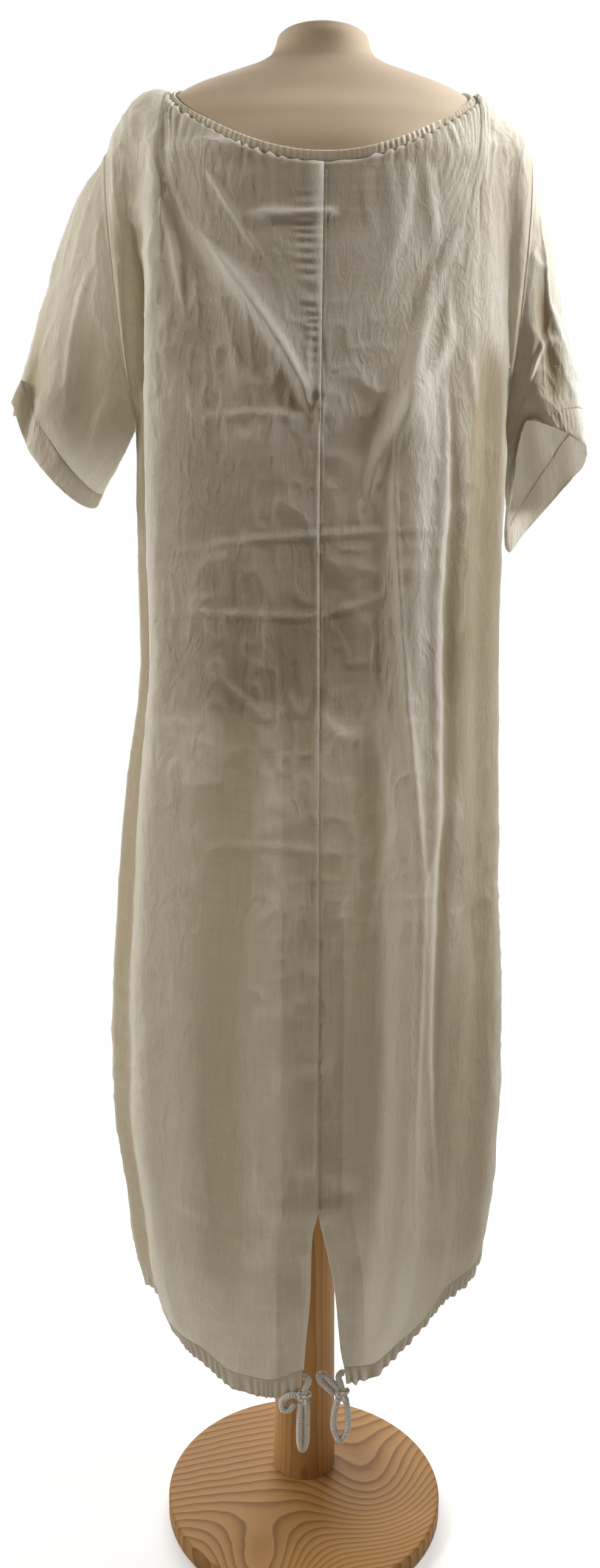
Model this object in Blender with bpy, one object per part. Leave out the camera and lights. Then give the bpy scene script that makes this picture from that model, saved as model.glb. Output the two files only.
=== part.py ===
"""Linen summer dress worn by a limbless dress form on a round wooden foot.

Metres, +Z up. The back of the dress faces -Y, and +X is the wearer's right. The origin is on the
floor under the axis of the pole. Names with left and right are the wearer's sides.
"""

import math
from collections import namedtuple

import bpy
import numpy as np

# Cloth and the gaps between its pieces
WALL = 0.0015
SEAM_GAP = 0.0003
REST_GAP = 0.0011
YOKE_EASE = 0.0030
BAND_GAP = 0.0006
HEM_WALL = 0.0024
BAND_WALL = 0.0020
FACING_WALL = 0.0010
FACING_GAP = 0.0006

# Wooden foot
BASE_RADIUS = 0.160
BASE_HEIGHT = 0.022
BASE_EASE = 0.003
BASE_BEHIND_POLE = 0.045
POLE_FOOT_RADIUS = 0.0375
POLE_TOP_RADIUS = 0.0240

# Dress form, from its open hip end to the top of the neck
Girth = namedtuple("Girth", "height half_width back front squareness")
FORM = [
    Girth(0.945, 0.154, 0.100, 0.095, 2.3),
    Girth(0.985, 0.163, 0.108, 0.101, 2.3),
    Girth(1.045, 0.158, 0.103, 0.098, 2.3),
    Girth(1.125, 0.141, 0.086, 0.093, 2.2),
    Girth(1.205, 0.146, 0.090, 0.112, 2.2),
    Girth(1.285, 0.156, 0.099, 0.132, 2.3),
    Girth(1.365, 0.164, 0.105, 0.124, 2.4),
    Girth(1.440, 0.173, 0.107, 0.105, 2.5),
    Girth(1.500, 0.183, 0.103, 0.091, 2.5),
    Girth(1.545, 0.182, 0.086, 0.075, 2.2),
    Girth(1.571, 0.170, 0.071, 0.064, 2.1),
    Girth(1.589, 0.1455, 0.062, 0.058, 2.0),
    Girth(1.601, 0.111, 0.056, 0.054, 2.0),
    Girth(1.611, 0.077, 0.052, 0.051, 2.0),
    Girth(1.622, 0.057, 0.050, 0.050, 2.0),
    Girth(1.634, 0.050, 0.049, 0.049, 2.0),
    Girth(1.641, 0.048, 0.047, 0.047, 2.0),
]
NECK_TOP = 1.6465

# Dress below the armholes: half widths to the wearer's left and right, depths behind and in front
Section = namedtuple("Section", "height left right back front squareness")
TUBE = [
    Section(0.150, 0.161, 0.152, 0.096, 0.099, 2.4),
    Section(0.190, 0.167, 0.160, 0.101, 0.104, 2.4),
    Section(0.230, 0.176, 0.171, 0.108, 0.111, 2.4),
    Section(0.265, 0.190, 0.189, 0.114, 0.117, 2.5),
    Section(0.300, 0.201, 0.203, 0.118, 0.121, 2.5),
    Section(0.380, 0.212, 0.215, 0.124, 0.127, 2.6),
    Section(0.500, 0.226, 0.220, 0.128, 0.132, 2.7),
    Section(0.620, 0.225, 0.218, 0.129, 0.134, 2.8),
    Section(0.740, 0.219, 0.210, 0.127, 0.135, 2.9),
    Section(0.860, 0.209, 0.207, 0.123, 0.137, 3.0),
    Section(1.000, 0.192, 0.203, 0.119, 0.142, 3.1),
    Section(1.130, 0.195, 0.200, 0.118, 0.146, 3.2),
    Section(1.255, 0.197, 0.199, 0.119, 0.146, 3.2),
]
CHEST = 1.255

# Hem: it is low in the middle and rises towards the side seams. place runs across a panel, from
# -1 at the left side seam to 1 at the right one.
HemPoint = namedtuple("HemPoint", "place back front")
HEM = [
    HemPoint(-1.00, 0.283, 0.283),
    HemPoint(-0.80, 0.259, 0.256),
    HemPoint(-0.62, 0.220, 0.226),
    HemPoint(-0.50, 0.196, 0.208),
    HemPoint(-0.38, 0.176, 0.195),
    HemPoint(-0.18, 0.170, 0.186),
    HemPoint(0.00, 0.187, 0.184),
    HemPoint(0.18, 0.189, 0.186),
    HemPoint(0.34, 0.194, 0.195),
    HemPoint(0.46, 0.218, 0.208),
    HemPoint(0.62, 0.258, 0.232),
    HemPoint(0.82, 0.292, 0.272),
    HemPoint(1.00, 0.304, 0.304),
]
HEM_LOW = 0.176
CASING = 0.024
GATHER_RISE = 0.0011

# Vent at the centre back: where its two edges hang
VentRow = namedtuple("VentRow", "height left_edge right_edge")
VENT = [
    VentRow(0.150, -0.0065, 0.0470),
    VentRow(0.185, -0.0045, 0.0440),
    VentRow(0.230, -0.0025, 0.0362),
    VentRow(0.302, 0.0020, 0.0297),
    VentRow(0.350, 0.0025, 0.0209),
    VentRow(0.372, 0.0035, 0.0160),
    VentRow(0.404, 0.0095, 0.0100),
    VentRow(0.460, 0.0090, 0.0090),
    VentRow(0.610, 0.0072, 0.0072),
    VentRow(0.800, 0.0045, 0.0045),
    VentRow(1.000, 0.0023, 0.0023),
    VentRow(1.200, 0.0000, 0.0000),
    VentRow(1.700, 0.0000, 0.0000),
]

# Neckline on the form, and the elastic casing that gathers it
NECK_SIDE = 0.1440
NECK_BACK_HEIGHT = 1.499
NECK_FRONT_HEIGHT = 1.468
NECK_CURVE = 1.65
BAND_WIDTH = 0.0105
NECK_SHARE = 0.56
PUCKER_RISE = 0.0011

# Shoulder seam, from the neck to the top of the dropped armhole
ShoulderPoint = namedtuple("ShoulderPoint", "share left left_height right right_height")
SHOULDER = [
    ShoulderPoint(0.25, 0.1735, 1.5915, 0.1660, 1.5840),
    ShoulderPoint(0.50, 0.1970, 1.5780, 0.1875, 1.5680),
    ShoulderPoint(0.75, 0.2120, 1.5560, 0.2055, 1.5560),
    ShoulderPoint(1.00, 0.2255, 1.5280, 0.2190, 1.5300),
]
ARMHOLE_DEPTH = 0.062
ELLIPSE_HANDLE = 4.0 / 3.0

# Sleeves: the crease along the top, the fold underneath, half the thickness of the flattened tube,
# and how far its back layer is raised and its front layer lowered
Cut = namedtuple("Cut", "share top_out top_height low_out low_height half_depth back_lift")
LEFT_SLEEVE = [
    Cut(0.00, 0.2255, 1.528, 0.197, 1.2550, 0.062, 0.000),
    Cut(0.25, 0.2570, 1.477, 0.207, 1.2350, 0.057, -0.001),
    Cut(0.50, 0.2855, 1.405, 0.217, 1.2150, 0.050, -0.006),
    Cut(0.75, 0.3100, 1.328, 0.229, 1.1910, 0.044, -0.016),
    Cut(1.00, 0.3300, 1.262, 0.241, 1.1660, 0.041, -0.023),
]
RIGHT_SLEEVE = [
    Cut(0.00, 0.2190, 1.530, 0.199, 1.2550, 0.062, 0.000),
    Cut(0.25, 0.2390, 1.462, 0.209, 1.2360, 0.062, 0.004),
    Cut(0.50, 0.2570, 1.390, 0.211, 1.2160, 0.060, 0.013),
    Cut(0.75, 0.2755, 1.300, 0.210, 1.1900, 0.057, 0.026),
    Cut(1.00, 0.2895, 1.214, 0.209, 1.1640, 0.053, 0.040),
]
CUFF_SHARE = 0.13

# Largest folds. place runs across a panel from -1 at the left side seam to 1 at the right one,
# and on a sleeve from 0 at the fold underneath, by the back, to 1 at the crease on top.
Fold = namedtuple("Fold", "top_place low_place top low width rise")
BACK_FOLDS = [
    Fold(-0.640, -0.600, 1.56, 0.20, 0.065, 0.0070),
    Fold(-0.800, -0.790, 1.42, 0.22, 0.080, -0.0150),
    Fold(0.560, 0.500, 1.28, 0.22, 0.070, 0.0090),
    Fold(0.725, 0.670, 1.30, 0.22, 0.080, -0.0140),
    Fold(-0.420, 0.030, 1.46, 1.25, 0.060, 0.0045),
    Fold(0.420, 0.260, 1.46, 1.16, 0.060, 0.0040),
    Fold(-0.300, -0.340, 0.98, 0.30, 0.090, -0.0050),
    Fold(0.230, 0.260, 0.92, 0.36, 0.090, -0.0045),
]
FRONT_FOLDS = [
    Fold(-0.660, -0.620, 1.54, 0.22, 0.075, 0.0070),
    Fold(-0.820, -0.800, 1.40, 0.24, 0.080, -0.0130),
    Fold(0.640, 0.600, 1.54, 0.22, 0.075, 0.0070),
    Fold(0.810, 0.780, 1.40, 0.24, 0.080, -0.0130),
    Fold(-0.300, -0.220, 1.22, 0.24, 0.090, -0.0060),
    Fold(0.300, 0.240, 1.22, 0.24, 0.090, -0.0060),
    Fold(0.000, 0.020, 1.12, 0.22, 0.085, 0.0050),
]
SleeveFold = namedtuple("SleeveFold", "place width start end rise")
LEFT_SLEEVE_FOLDS = [
    SleeveFold(0.80, 0.07, 0.60, 1.30, -0.0110),
    SleeveFold(0.42, 0.10, 0.15, 0.95, -0.0050),
    SleeveFold(-0.55, 0.12, 0.20, 1.20, -0.0060),
]
RIGHT_SLEEVE_FOLDS = [
    SleeveFold(0.55, 0.09, 0.10, 0.90, -0.0080),
    SleeveFold(0.80, 0.08, 0.35, 1.20, 0.0040),
    SleeveFold(-0.50, 0.12, 0.20, 1.20, -0.0060),
]

# Drawstring: a soft cord whose ends leave the casing at the vent and are knotted into loops
CORD_DIAMETER = 0.0065
KNOT_RADIUS = 0.0075
LoopPoint = namedtuple("LoopPoint", "across out height")
LEFT_KNOT = (-0.0022, -0.0998, 0.1735)
RIGHT_KNOT = (0.0411, -0.0979, 0.1770)
LEFT_LEAD = [
    LoopPoint(-0.0015, 0.000, 0.0240),
    LoopPoint(0.0020, 0.000, 0.0240),
    LoopPoint(0.0052, 0.000, 0.0190),
    LoopPoint(0.0030, 0.000, 0.0130),
    LoopPoint(0.0008, 0.000, 0.0074),
]
RIGHT_LEAD = [
    LoopPoint(0.0022, 0.000, 0.0250),
    LoopPoint(-0.0010, 0.000, 0.0250),
    LoopPoint(-0.0042, 0.000, 0.0200),
    LoopPoint(-0.0022, 0.000, 0.0130),
    LoopPoint(-0.0006, 0.000, 0.0072),
]
LEFT_LOOP = [
    LoopPoint(-0.0038, 0.000, -0.0063),
    LoopPoint(-0.0052, -0.001, -0.0280),
    LoopPoint(-0.0056, 0.000, -0.0550),
    LoopPoint(-0.0010, 0.001, -0.0687),
    LoopPoint(0.0044, 0.001, -0.0550),
    LoopPoint(0.0050, 0.000, -0.0280),
    LoopPoint(0.0040, 0.000, -0.0063),
]
RIGHT_LOOP = [
    LoopPoint(-0.0038, 0.000, -0.0060),
    LoopPoint(-0.0080, -0.001, -0.0220),
    LoopPoint(-0.0090, -0.002, -0.0410),
    LoopPoint(-0.0010, -0.002, -0.0570),
    LoopPoint(0.0074, -0.001, -0.0420),
    LoopPoint(0.0068, 0.000, -0.0220),
    LoopPoint(0.0040, 0.000, -0.0060),
]
LEFT_TAIL = [
    LoopPoint(-0.0082, 0.000, -0.0015),
    LoopPoint(-0.0160, -0.001, -0.0030),
    LoopPoint(-0.0232, -0.001, -0.0085),
    LoopPoint(-0.0262, -0.001, -0.0185),
]
RIGHT_TAIL = [
    LoopPoint(-0.0075, 0.000, 0.0030),
    LoopPoint(-0.0130, -0.001, 0.0090),
    LoopPoint(-0.0175, -0.001, 0.0155),
    LoopPoint(-0.0212, -0.001, 0.0225),
]

# Mesh counts
LOW_ROWS = 19
YOKE_ROWS = 10
BACK_NECK_COLUMNS = 9
BACK_SHOULDER_COLUMNS = 6
FRONT_NECK_COLUMNS = 7
FRONT_SHOULDER_COLUMNS = 5
FACING_COLUMNS = 2
FACING_ROWS = 4
BACK_PUCKERS = 5
FRONT_PUCKERS = 6
SLEEVE_COLUMNS = 22
SLEEVE_ROWS = 8
FORM_COLUMNS = 28
ARC_SAMPLES = 121


def eased(table, key, field, at):
    """Values of one field of a table, on a smooth curve that never overshoots its rows."""
    x = np.array([getattr(row, key) for row in table], float)
    y = np.array([getattr(row, field) for row in table], float)
    step = np.diff(x)
    rise = np.diff(y) / step
    slope = np.zeros_like(y)
    same_way = rise[1:] * rise[:-1] > 0
    with np.errstate(divide="ignore", invalid="ignore"):
        harmonic = 2 * rise[1:] * rise[:-1] / (rise[1:] + rise[:-1])
    slope[1:-1] = np.where(same_way, harmonic, 0.0)
    slope[0], slope[-1] = rise[0], rise[-1]
    at = np.clip(np.asarray(at, float), x[0], x[-1])
    i = np.clip(np.searchsorted(x, at, side="right") - 1, 0, len(x) - 2)
    t = (at - x[i]) / step[i]
    return (
        y[i] * (1 + 2 * t) * (1 - t) ** 2
        + slope[i] * step[i] * t * (1 - t) ** 2
        + y[i + 1] * t * t * (3 - 2 * t)
        + slope[i + 1] * step[i] * t * t * (t - 1)
    )


def smoothstep(low, high, x):
    """0 below low, 1 above high, and a soft S between."""
    t = np.clip((np.asarray(x, float) - low) / (high - low), 0.0, 1.0)
    return t * t * (3 - 2 * t)


def unit(vectors):
    """Each vector divided by its length."""
    length = np.linalg.norm(vectors, axis=-1, keepdims=True)
    return vectors / np.maximum(length, 1e-12)


def bezier(p0, p1, p2, p3, t):
    """Point on a cubic curve with ends p0 and p3 and handles p1 and p2."""
    t = np.asarray(t, float)[..., None]
    return (1 - t) ** 3 * p0 + 3 * t * (1 - t) ** 2 * p1 + 3 * t * t * (1 - t) * p2 + t**3 * p3


def quarter_arc(half_width, depth, squareness, share):
    """(across, out) on a quarter of a superellipse, share of the way round it from the middle."""
    angle = np.linspace(0, math.pi / 2, ARC_SAMPLES)
    across = half_width * np.abs(np.sin(angle)) ** (2 / squareness)
    out = depth * np.abs(np.cos(angle)) ** (2 / squareness)
    along = np.concatenate([[0], np.cumsum(np.hypot(np.diff(across), np.diff(out)))])
    at = share * along[-1]
    return np.interp(at, along, across), np.interp(at, along, out), along[-1]


# Dress form


def form_point(height, angle):
    """Point of the form's surface: angle 0 is at +X, a quarter turn is the middle of the back."""
    half_width = eased(FORM, "height", "half_width", height)
    back = eased(FORM, "height", "back", height)
    front = eased(FORM, "height", "front", height)
    power = 2 / eased(FORM, "height", "squareness", height)
    c, s = np.cos(angle), np.sin(angle)
    depth = np.where(s >= 0, back, front)
    x = half_width * np.sign(c) * np.abs(c) ** power
    y = -depth * np.sign(s) * np.abs(s) ** power
    return np.stack(np.broadcast_arrays(x, y, height), axis=-1)


def form_normal(height, angle):
    """Outward normal of the form's surface, from its two tangents."""
    h, a = 0.0015, 0.01
    up = form_point(height + h, angle) - form_point(height - h, angle)
    round_it = form_point(height, angle + a) - form_point(height, angle - a)
    return unit(np.cross(up, round_it))


def form_height_at(half_width):
    """Height on the shoulders where the form is this wide."""
    heights = np.linspace(1.560, NECK_TOP - 0.01, 200)
    widths = eased(FORM, "height", "half_width", heights)
    return float(np.interp(-half_width, -widths, heights))


# Neckline


def neckline(side, turn, width):
    """Point and normal on the form, width below the neck edge. side is -1 behind and 1 in front,
    and turn runs from 0 at one shoulder to pi at the other."""
    middle = (NECK_BACK_HEIGHT if side < 0 else NECK_FRONT_HEIGHT) - width
    shoulder = form_height_at(NECK_SIDE + width)
    height = middle + (shoulder - middle) * np.abs(np.cos(turn)) ** NECK_CURVE
    angle = turn if side < 0 else -turn
    return form_point(height, angle), form_normal(height, angle)


# Body of the dress


def hem_height(side, place):
    """Height of the hem at a place across a panel."""
    return float(eased(HEM, "place", "back" if side < 0 else "front", place))


def tube_point(side, place, height):
    """Point of the dress below the armholes, without folds."""
    section = {f: float(eased(TUBE, "height", f, height)) for f in Section._fields[1:]}
    half_width = section["left"] if place < 0 else section["right"]
    depth = section["back"] if side < 0 else section["front"]
    across, out, _ = quarter_arc(half_width, depth, section["squareness"], abs(place))
    return np.array([math.copysign(across, place), side * out, height])


def half_girth(side, right, height):
    """Length of the cloth from the middle of a panel to its side seam."""
    field = "right" if right else "left"
    half_width = float(eased(TUBE, "height", field, height))
    depth = float(eased(TUBE, "height", "back" if side < 0 else "front", height))
    return quarter_arc(half_width, depth, float(eased(TUBE, "height", "squareness", height)), 1.0)[2]


def shoulder_point(sign, share):
    """Point of the shoulder seam's outer face, from the neckline to the top of the armhole."""
    start, normal = neckline(-1, 0.0, BAND_WIDTH + BAND_GAP)
    across, _, height = (start + normal * (WALL + REST_GAP)).tolist()
    table = [ShoulderPoint(0.0, across, height, across, height)] + SHOULDER
    side = "left" if sign < 0 else "right"
    return float(eased(table, "share", side, share)), float(eased(table, "share", side + "_height", share))


def top_edge(side, sign, share):
    """Point where a column of the panel ends: on the neckline, or on the shoulder seam."""
    if share <= NECK_SHARE:
        turn = math.pi / 2 * (1 - share / NECK_SHARE)
        point, normal = neckline(side, turn, BAND_WIDTH + BAND_GAP)
        point = point + normal * (WALL + REST_GAP)
        return np.array([sign * point[0], side * max(abs(point[1]), SEAM_GAP / 2), point[2]])
    across, height = shoulder_point(sign, (share - NECK_SHARE) / (1 - NECK_SHARE))
    return np.array([sign * across, side * SEAM_GAP / 2, height])


def yoke_point(side, place, sign, share, rise):
    """Point of the dress above the chest line: a curve from there up to the top edge.

    In the middle the curve stays upright against the form, over the shoulder it arrives from
    behind or from the front, and at the side it is half of the armhole's ellipse.
    """
    foot = tube_point(side, place, CHEST)
    head = top_edge(side, sign, share)
    to_side = float(smoothstep(0.72, 1.0, share))
    to_shoulder = float(smoothstep(0.25, NECK_SHARE + 0.06, share))
    full = ELLIPSE_HANDLE * ARMHOLE_DEPTH
    low_handle = np.array([0.0, side * full * to_side, 0.120 * (1 - to_side)])
    upright = np.array([0.0, side * 0.012, -0.090])
    over = np.array([0.0, side * 0.078, -0.006])
    high_handle = upright * (1 - to_shoulder) + over * to_shoulder
    high_handle = high_handle * (1 - to_side) + np.array([0.0, side * full, 0.0]) * to_side
    return bezier(foot, foot + low_handle, head + high_handle, head, rise)


def form_measure(points):
    """Below 0 inside the form, 0 on its surface and above 0 outside it."""
    x, y, z = points[..., 0], points[..., 1], points[..., 2]
    half_width = eased(FORM, "height", "half_width", z)
    depth = np.where(y < 0, eased(FORM, "height", "back", z), eased(FORM, "height", "front", z))
    power = eased(FORM, "height", "squareness", z)
    return (np.abs(x / half_width) ** power + np.abs(y / depth) ** power) ** (1 / power) - 1


def clear_of_form(points, clearance, softness):
    """The points, moved out along the form's own slope until they are clear of it."""
    h = 0.0005
    for _ in range(3):
        slope = np.stack(
            [form_measure(points + h * e) - form_measure(points - h * e) for e in np.eye(3)], axis=-1
        ) / (2 * h)
        steep = np.linalg.norm(slope, axis=-1, keepdims=True)
        short = clearance - form_measure(points)[..., None] / steep
        points = points + slope / steep * 0.5 * (short + np.hypot(short, softness))
        softness = 0.0
    return points


def fold_rise(folds, place, height):
    """How far the folds of a panel lift or sink the cloth there."""
    total = 0.0
    for fold in folds:
        down = np.clip((fold.top - height) / (fold.top - fold.low), 0.0, 1.0)
        middle = fold.top_place + (fold.low_place - fold.top_place) * down
        ends = smoothstep(fold.low - 0.06, fold.low + 0.10, height) * (
            1 - smoothstep(fold.top - 0.05, fold.top + 0.04, height)
        )
        total += fold.rise * ends * math.exp(-(((place - middle) / fold.width) ** 2))
    return total


def seam_normal(tangents, axis):
    """Normals along a seam that lies in a plane across axis: its tangents, turned a quarter."""
    t = tangents.copy()
    t[:, axis] = 0
    e = np.zeros(3)
    e[axis] = 1
    return unit(np.cross(t, e))


def grid_normals(grid, closed=False):
    """Outward normals of a grid of points, from its row and column tangents."""
    up = np.gradient(grid, axis=0)
    if closed:
        across = np.roll(grid, -1, axis=1) - np.roll(grid, 1, axis=1)
    else:
        across = np.gradient(grid, axis=1)
    return unit(np.cross(across, up))


def facing_out(normals, grid, centre):
    """The same normals, all turned away from a centre line."""
    inward = np.sum(normals * (grid - centre), axis=-1).sum() < 0
    return -normals if inward else normals


def panel_places(side, left, right, count, height):
    """Places of a row of points between two edges, given in metres from the middle."""
    low = left / half_girth(side, left > 0, height)
    high = right / half_girth(side, right > 0, height)
    return np.linspace(low, high, count + 1)


def panel_edges(side, part, height):
    """The two edges of a body panel at a height, in metres of cloth from the middle."""
    half_gap = SEAM_GAP / 2
    left = -half_girth(side, False, height) + half_gap
    right = half_girth(side, True, height) - half_gap
    if part == "left":
        right = float(eased(VENT, "height", "left_edge", height)) - half_gap
    elif part == "right":
        left = float(eased(VENT, "height", "right_edge", height)) + half_gap
    return left, right


def body_row(side, part, columns, row_share):
    """One row of a panel below the chest line. row_share is 0 at the hem and 1 at the chest."""
    nominal = HEM_LOW + (CHEST - HEM_LOW) * row_share
    left, right = panel_edges(side, part, nominal)
    places = panel_places(side, left, right, columns, nominal)
    points = []
    for place in places:
        hem = hem_height(side, place)
        height = hem + (CHEST - hem) * row_share
        points.append(tube_point(side, place, height))
    return places, np.array(points)


def column_shares(side, part):
    """The way of each column of a panel, from 0 at the middle to 1 at the armhole, with its side."""
    neck, shoulder = (
        (BACK_NECK_COLUMNS, BACK_SHOULDER_COLUMNS) if side < 0 else (FRONT_NECK_COLUMNS, FRONT_SHOULDER_COLUMNS)
    )
    right = np.concatenate([
        np.linspace(0, NECK_SHARE, neck + 1),
        np.linspace(NECK_SHARE, 1, shoulder + 1)[1:],
    ])
    left = right[::-1]
    if part == "left":
        return [(-1, share) for share in left]
    if part == "right":
        return [(1, share) for share in right]
    return [(-1, share) for share in left] + [(1, share) for share in right[1:]]


def panel(side, part, folds):
    """Grid of a body panel's outer face, and its normals."""
    shares_up = column_shares(side, part)
    columns = len(shares_up) - 1
    first = (CASING + SEAM_GAP) / (CHEST - HEM_LOW)
    rows, all_places = [], []
    for share in first + (1 - first) * np.linspace(0, 1, LOW_ROWS + 1):
        places, points = body_row(side, part, columns, share)
        rows.append(points)
        all_places.append(places)
    left, right = panel_edges(side, part, CHEST)
    places = panel_places(side, left, right, columns, CHEST)
    for rise in np.linspace(0, 1, YOKE_ROWS + 1)[1:]:
        row = [yoke_point(side, at, *up, rise) for at, up in zip(places, shares_up)]
        rows.append(np.array(row))
        all_places.append(places)
    grid = np.array(rows)
    held = grid[LOW_ROWS + 1 : -1]
    grid[LOW_ROWS + 1 : -1] = clear_of_form(held, WALL + REST_GAP + YOKE_EASE, 0.002)
    flat = grid
    grid = with_folds(grid, all_places, part, folds)
    if part != "whole":
        middle = -1 if part == "left" else 0
        grid[:, middle, 0] = flat[:, middle, 0]
        grid[LOW_ROWS + 1 :, middle, 0] = (-1 if part == "left" else 1) * SEAM_GAP / 2
    normals = facing_out(grid_normals(grid), grid, np.array([0, 0, 0.8]))
    return grid, edge_normals(grid, normals, side, part)


def with_folds(grid, all_places, part, folds):
    """The grid with its folds, which die away at the seams that other pieces share."""
    normals = facing_out(grid_normals(grid), grid, np.array([0, 0, 0.6]))
    rises = np.array([[fold_rise(folds, p, h) for p, h in zip(ps, row[:, 2])] for ps, row in zip(all_places, grid)])
    if len(grid) > LOW_ROWS:
        rises[-1] = 0
        rises[-2] *= 0.4
    rises[:, 0] *= part == "right"
    rises[:, -1] *= part == "left"
    return grid + normals * rises[..., None]


def side_seam_normals(edge, sign):
    """Outward normals along a side seam, which lies in the plane between front and back."""
    out = seam_normal(np.gradient(edge, axis=0), 1)
    out[out[:, 0] * sign < 0] *= -1
    return out


def edge_normals(grid, normals, side, part):
    """The normals with those on the seams shared with the neighbouring pieces."""
    normals = normals.copy()
    top = grid[-1]
    turned_up = seam_normal(np.gradient(top, axis=0), 1)
    turned_up[turned_up[:, 2] < 0] *= -1
    for j, (sign, share) in enumerate(column_shares(side, part)):
        if share > NECK_SHARE:
            normals[-1, j] = turned_up[j]
            continue
        turn = math.pi / 2 * (1 - share / NECK_SHARE)
        normals[-1, j] = neckline(side, turn, BAND_WIDTH + BAND_GAP)[1] * np.array([sign, 1, 1])
        normals[-1, j, 1] *= share < NECK_SHARE
        normals[-1, j] = unit(normals[-1, j])
    for column, sign, own in ((0, -1, "right"), (-1, 1, "left")):
        edge = grid[:, column]
        if part == own:
            normals[:, column, 0] = 0
            normals[:, column] = unit(normals[:, column])
            continue
        out = side_seam_normals(edge, sign)
        normals[: LOW_ROWS + 1, column] = out[: LOW_ROWS + 1]
        centre = (edge[LOW_ROWS] + edge[-1]) / 2
        normals[LOW_ROWS + 1 :, column] = unit(edge[LOW_ROWS + 1 :] - centre)
        normals[LOW_ROWS, column] = unit(out[LOW_ROWS] + np.array([0, 0, -0.3]))
    return normals


# Sleeves


def sleeve_ring(table, sign, share, columns):
    """A closed ring of the sleeve: up its back layer, and down its front one."""
    low = np.array([sign * eased(table, "share", "low_out", share), 0, eased(table, "share", "low_height", share)])
    top = np.array([sign * eased(table, "share", "top_out", share), 0, eased(table, "share", "top_height", share)])
    depth = ELLIPSE_HANDLE * eased(table, "share", "half_depth", share)
    lift = eased(table, "share", "back_lift", share)
    points = []
    for k in range(columns):
        turn = 2 * k / columns
        side, rise = (-1, turn) if turn <= 1 else (1, 2 - turn)
        handle = np.array([0, side * depth, 0])
        point = bezier(low, low + handle, top + handle, top, rise)
        point[2] -= side * lift * math.sin(math.pi * rise)
        points.append(point)
    return np.array(points)


def sleeve_grid(table, sign, folds, shares, columns):
    """Rings of the sleeve's outer face with its folds, and their normals."""
    grid = np.array([sleeve_ring(table, sign, share, columns) for share in shares])
    centre = grid.mean(axis=1, keepdims=True)
    normals = facing_out(grid_normals(grid, closed=True), grid, centre)
    for i, share in enumerate(shares):
        for k in range(columns):
            turn = 2 * k / columns
            place = turn if turn <= 1 else turn - 2
            for fold in folds:
                away = (place - fold.place) / fold.width
                strength = smoothstep(fold.start, fold.start + 0.35, share) * (1 - smoothstep(fold.end - 0.3, fold.end, share))
                grid[i, k] += normals[i, k] * fold.rise * strength * math.exp(-away * away)
    normals = facing_out(grid_normals(grid, closed=True), grid, grid.mean(axis=1, keepdims=True))
    return grid, normals


def sleeve_part(table, sign, folds, start, end, rows):
    """A stretch of a sleeve between two shares of its length."""
    shares = np.linspace(start, end, rows + 1)
    grid, normals = sleeve_grid(table, sign, folds, shares, SLEEVE_COLUMNS)
    if start == 0.0:
        centre = (grid[0, 0] + grid[0, SLEEVE_COLUMNS // 2]) / 2
        normals[0] = unit(grid[0] - centre)
        grid[0] = grid[0] + np.array([sign * 1.35 * SEAM_GAP, 0, -0.2 * SEAM_GAP])
    return grid, normals


# Meshes


def new_object(name, vertices, faces, material):
    """A closed mesh object with its faces turned outwards."""
    points = np.array(vertices, float)
    fans = [(face[0], a, b) for face in faces for a, b in zip(face[1:], face[2:])]
    if np.linalg.det(points[np.array(fans)]).sum() < 0:
        faces = [face[::-1] for face in faces]
    mesh = bpy.data.meshes.new(name)
    mesh.from_pydata(points.tolist(), [], faces)
    mesh.shade_smooth()
    mesh.set_sharp_from_angle(angle=math.radians(50))
    mesh.materials.append(material)
    made = bpy.data.objects.new(name, mesh)
    bpy.context.scene.collection.objects.link(made)
    return made


def wall(name, outer, normals, thickness, material, closed=False):
    """A cloth wall: the outer grid, the same grid moved in by its thickness, and the rims."""
    rows, columns = outer.shape[:2]
    depth = np.broadcast_to(np.asarray(thickness, float), (rows, columns))[..., None]
    inner = outer - normals * depth
    vertices = np.concatenate([outer.reshape(-1, 3), inner.reshape(-1, 3)])
    inside = rows * columns

    def at(i, j):
        return i * columns + j % columns

    faces = []
    for i in range(rows - 1):
        for j in range(columns if closed else columns - 1):
            quad = (at(i, j), at(i, j + 1), at(i + 1, j + 1), at(i + 1, j))
            faces += [quad, tuple(inside + k for k in reversed(quad))]
    around = range(columns + 1 if closed else columns)
    rims = [[at(0, j) for j in reversed(around)], [at(rows - 1, j) for j in around]]
    if not closed:
        rims += [[at(i, 0) for i in range(rows)], [at(i, columns - 1) for i in reversed(range(rows))]]
    for rim in rims:
        faces += [(a, b, inside + b, inside + a) for a, b in zip(rim, rim[1:])]
    return new_object(name, vertices, faces, material)


def turned(name, profile, segments, centre, material):
    """A solid turned round an upright axis, from (radius, height) pairs that end on the axis."""
    rings = [p for p in profile if p[0] > 0]
    vertices = [(centre[0], centre[1], profile[0][1]), (centre[0], centre[1], profile[-1][1])]
    for radius, height in rings:
        for k in range(segments):
            a = 2 * math.pi * k / segments
            vertices.append((centre[0] + radius * math.cos(a), centre[1] + radius * math.sin(a), height))

    def at(i, k):
        return 2 + i * segments + k % segments

    faces = [(0, at(0, k + 1), at(0, k)) for k in range(segments)]
    for i in range(len(rings) - 1):
        faces += [(at(i, k), at(i, k + 1), at(i + 1, k + 1), at(i + 1, k)) for k in range(segments)]
    faces += [(1, at(len(rings) - 1, k), at(len(rings) - 1, k + 1)) for k in range(segments)]
    return new_object(name, vertices, faces, material)


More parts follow.
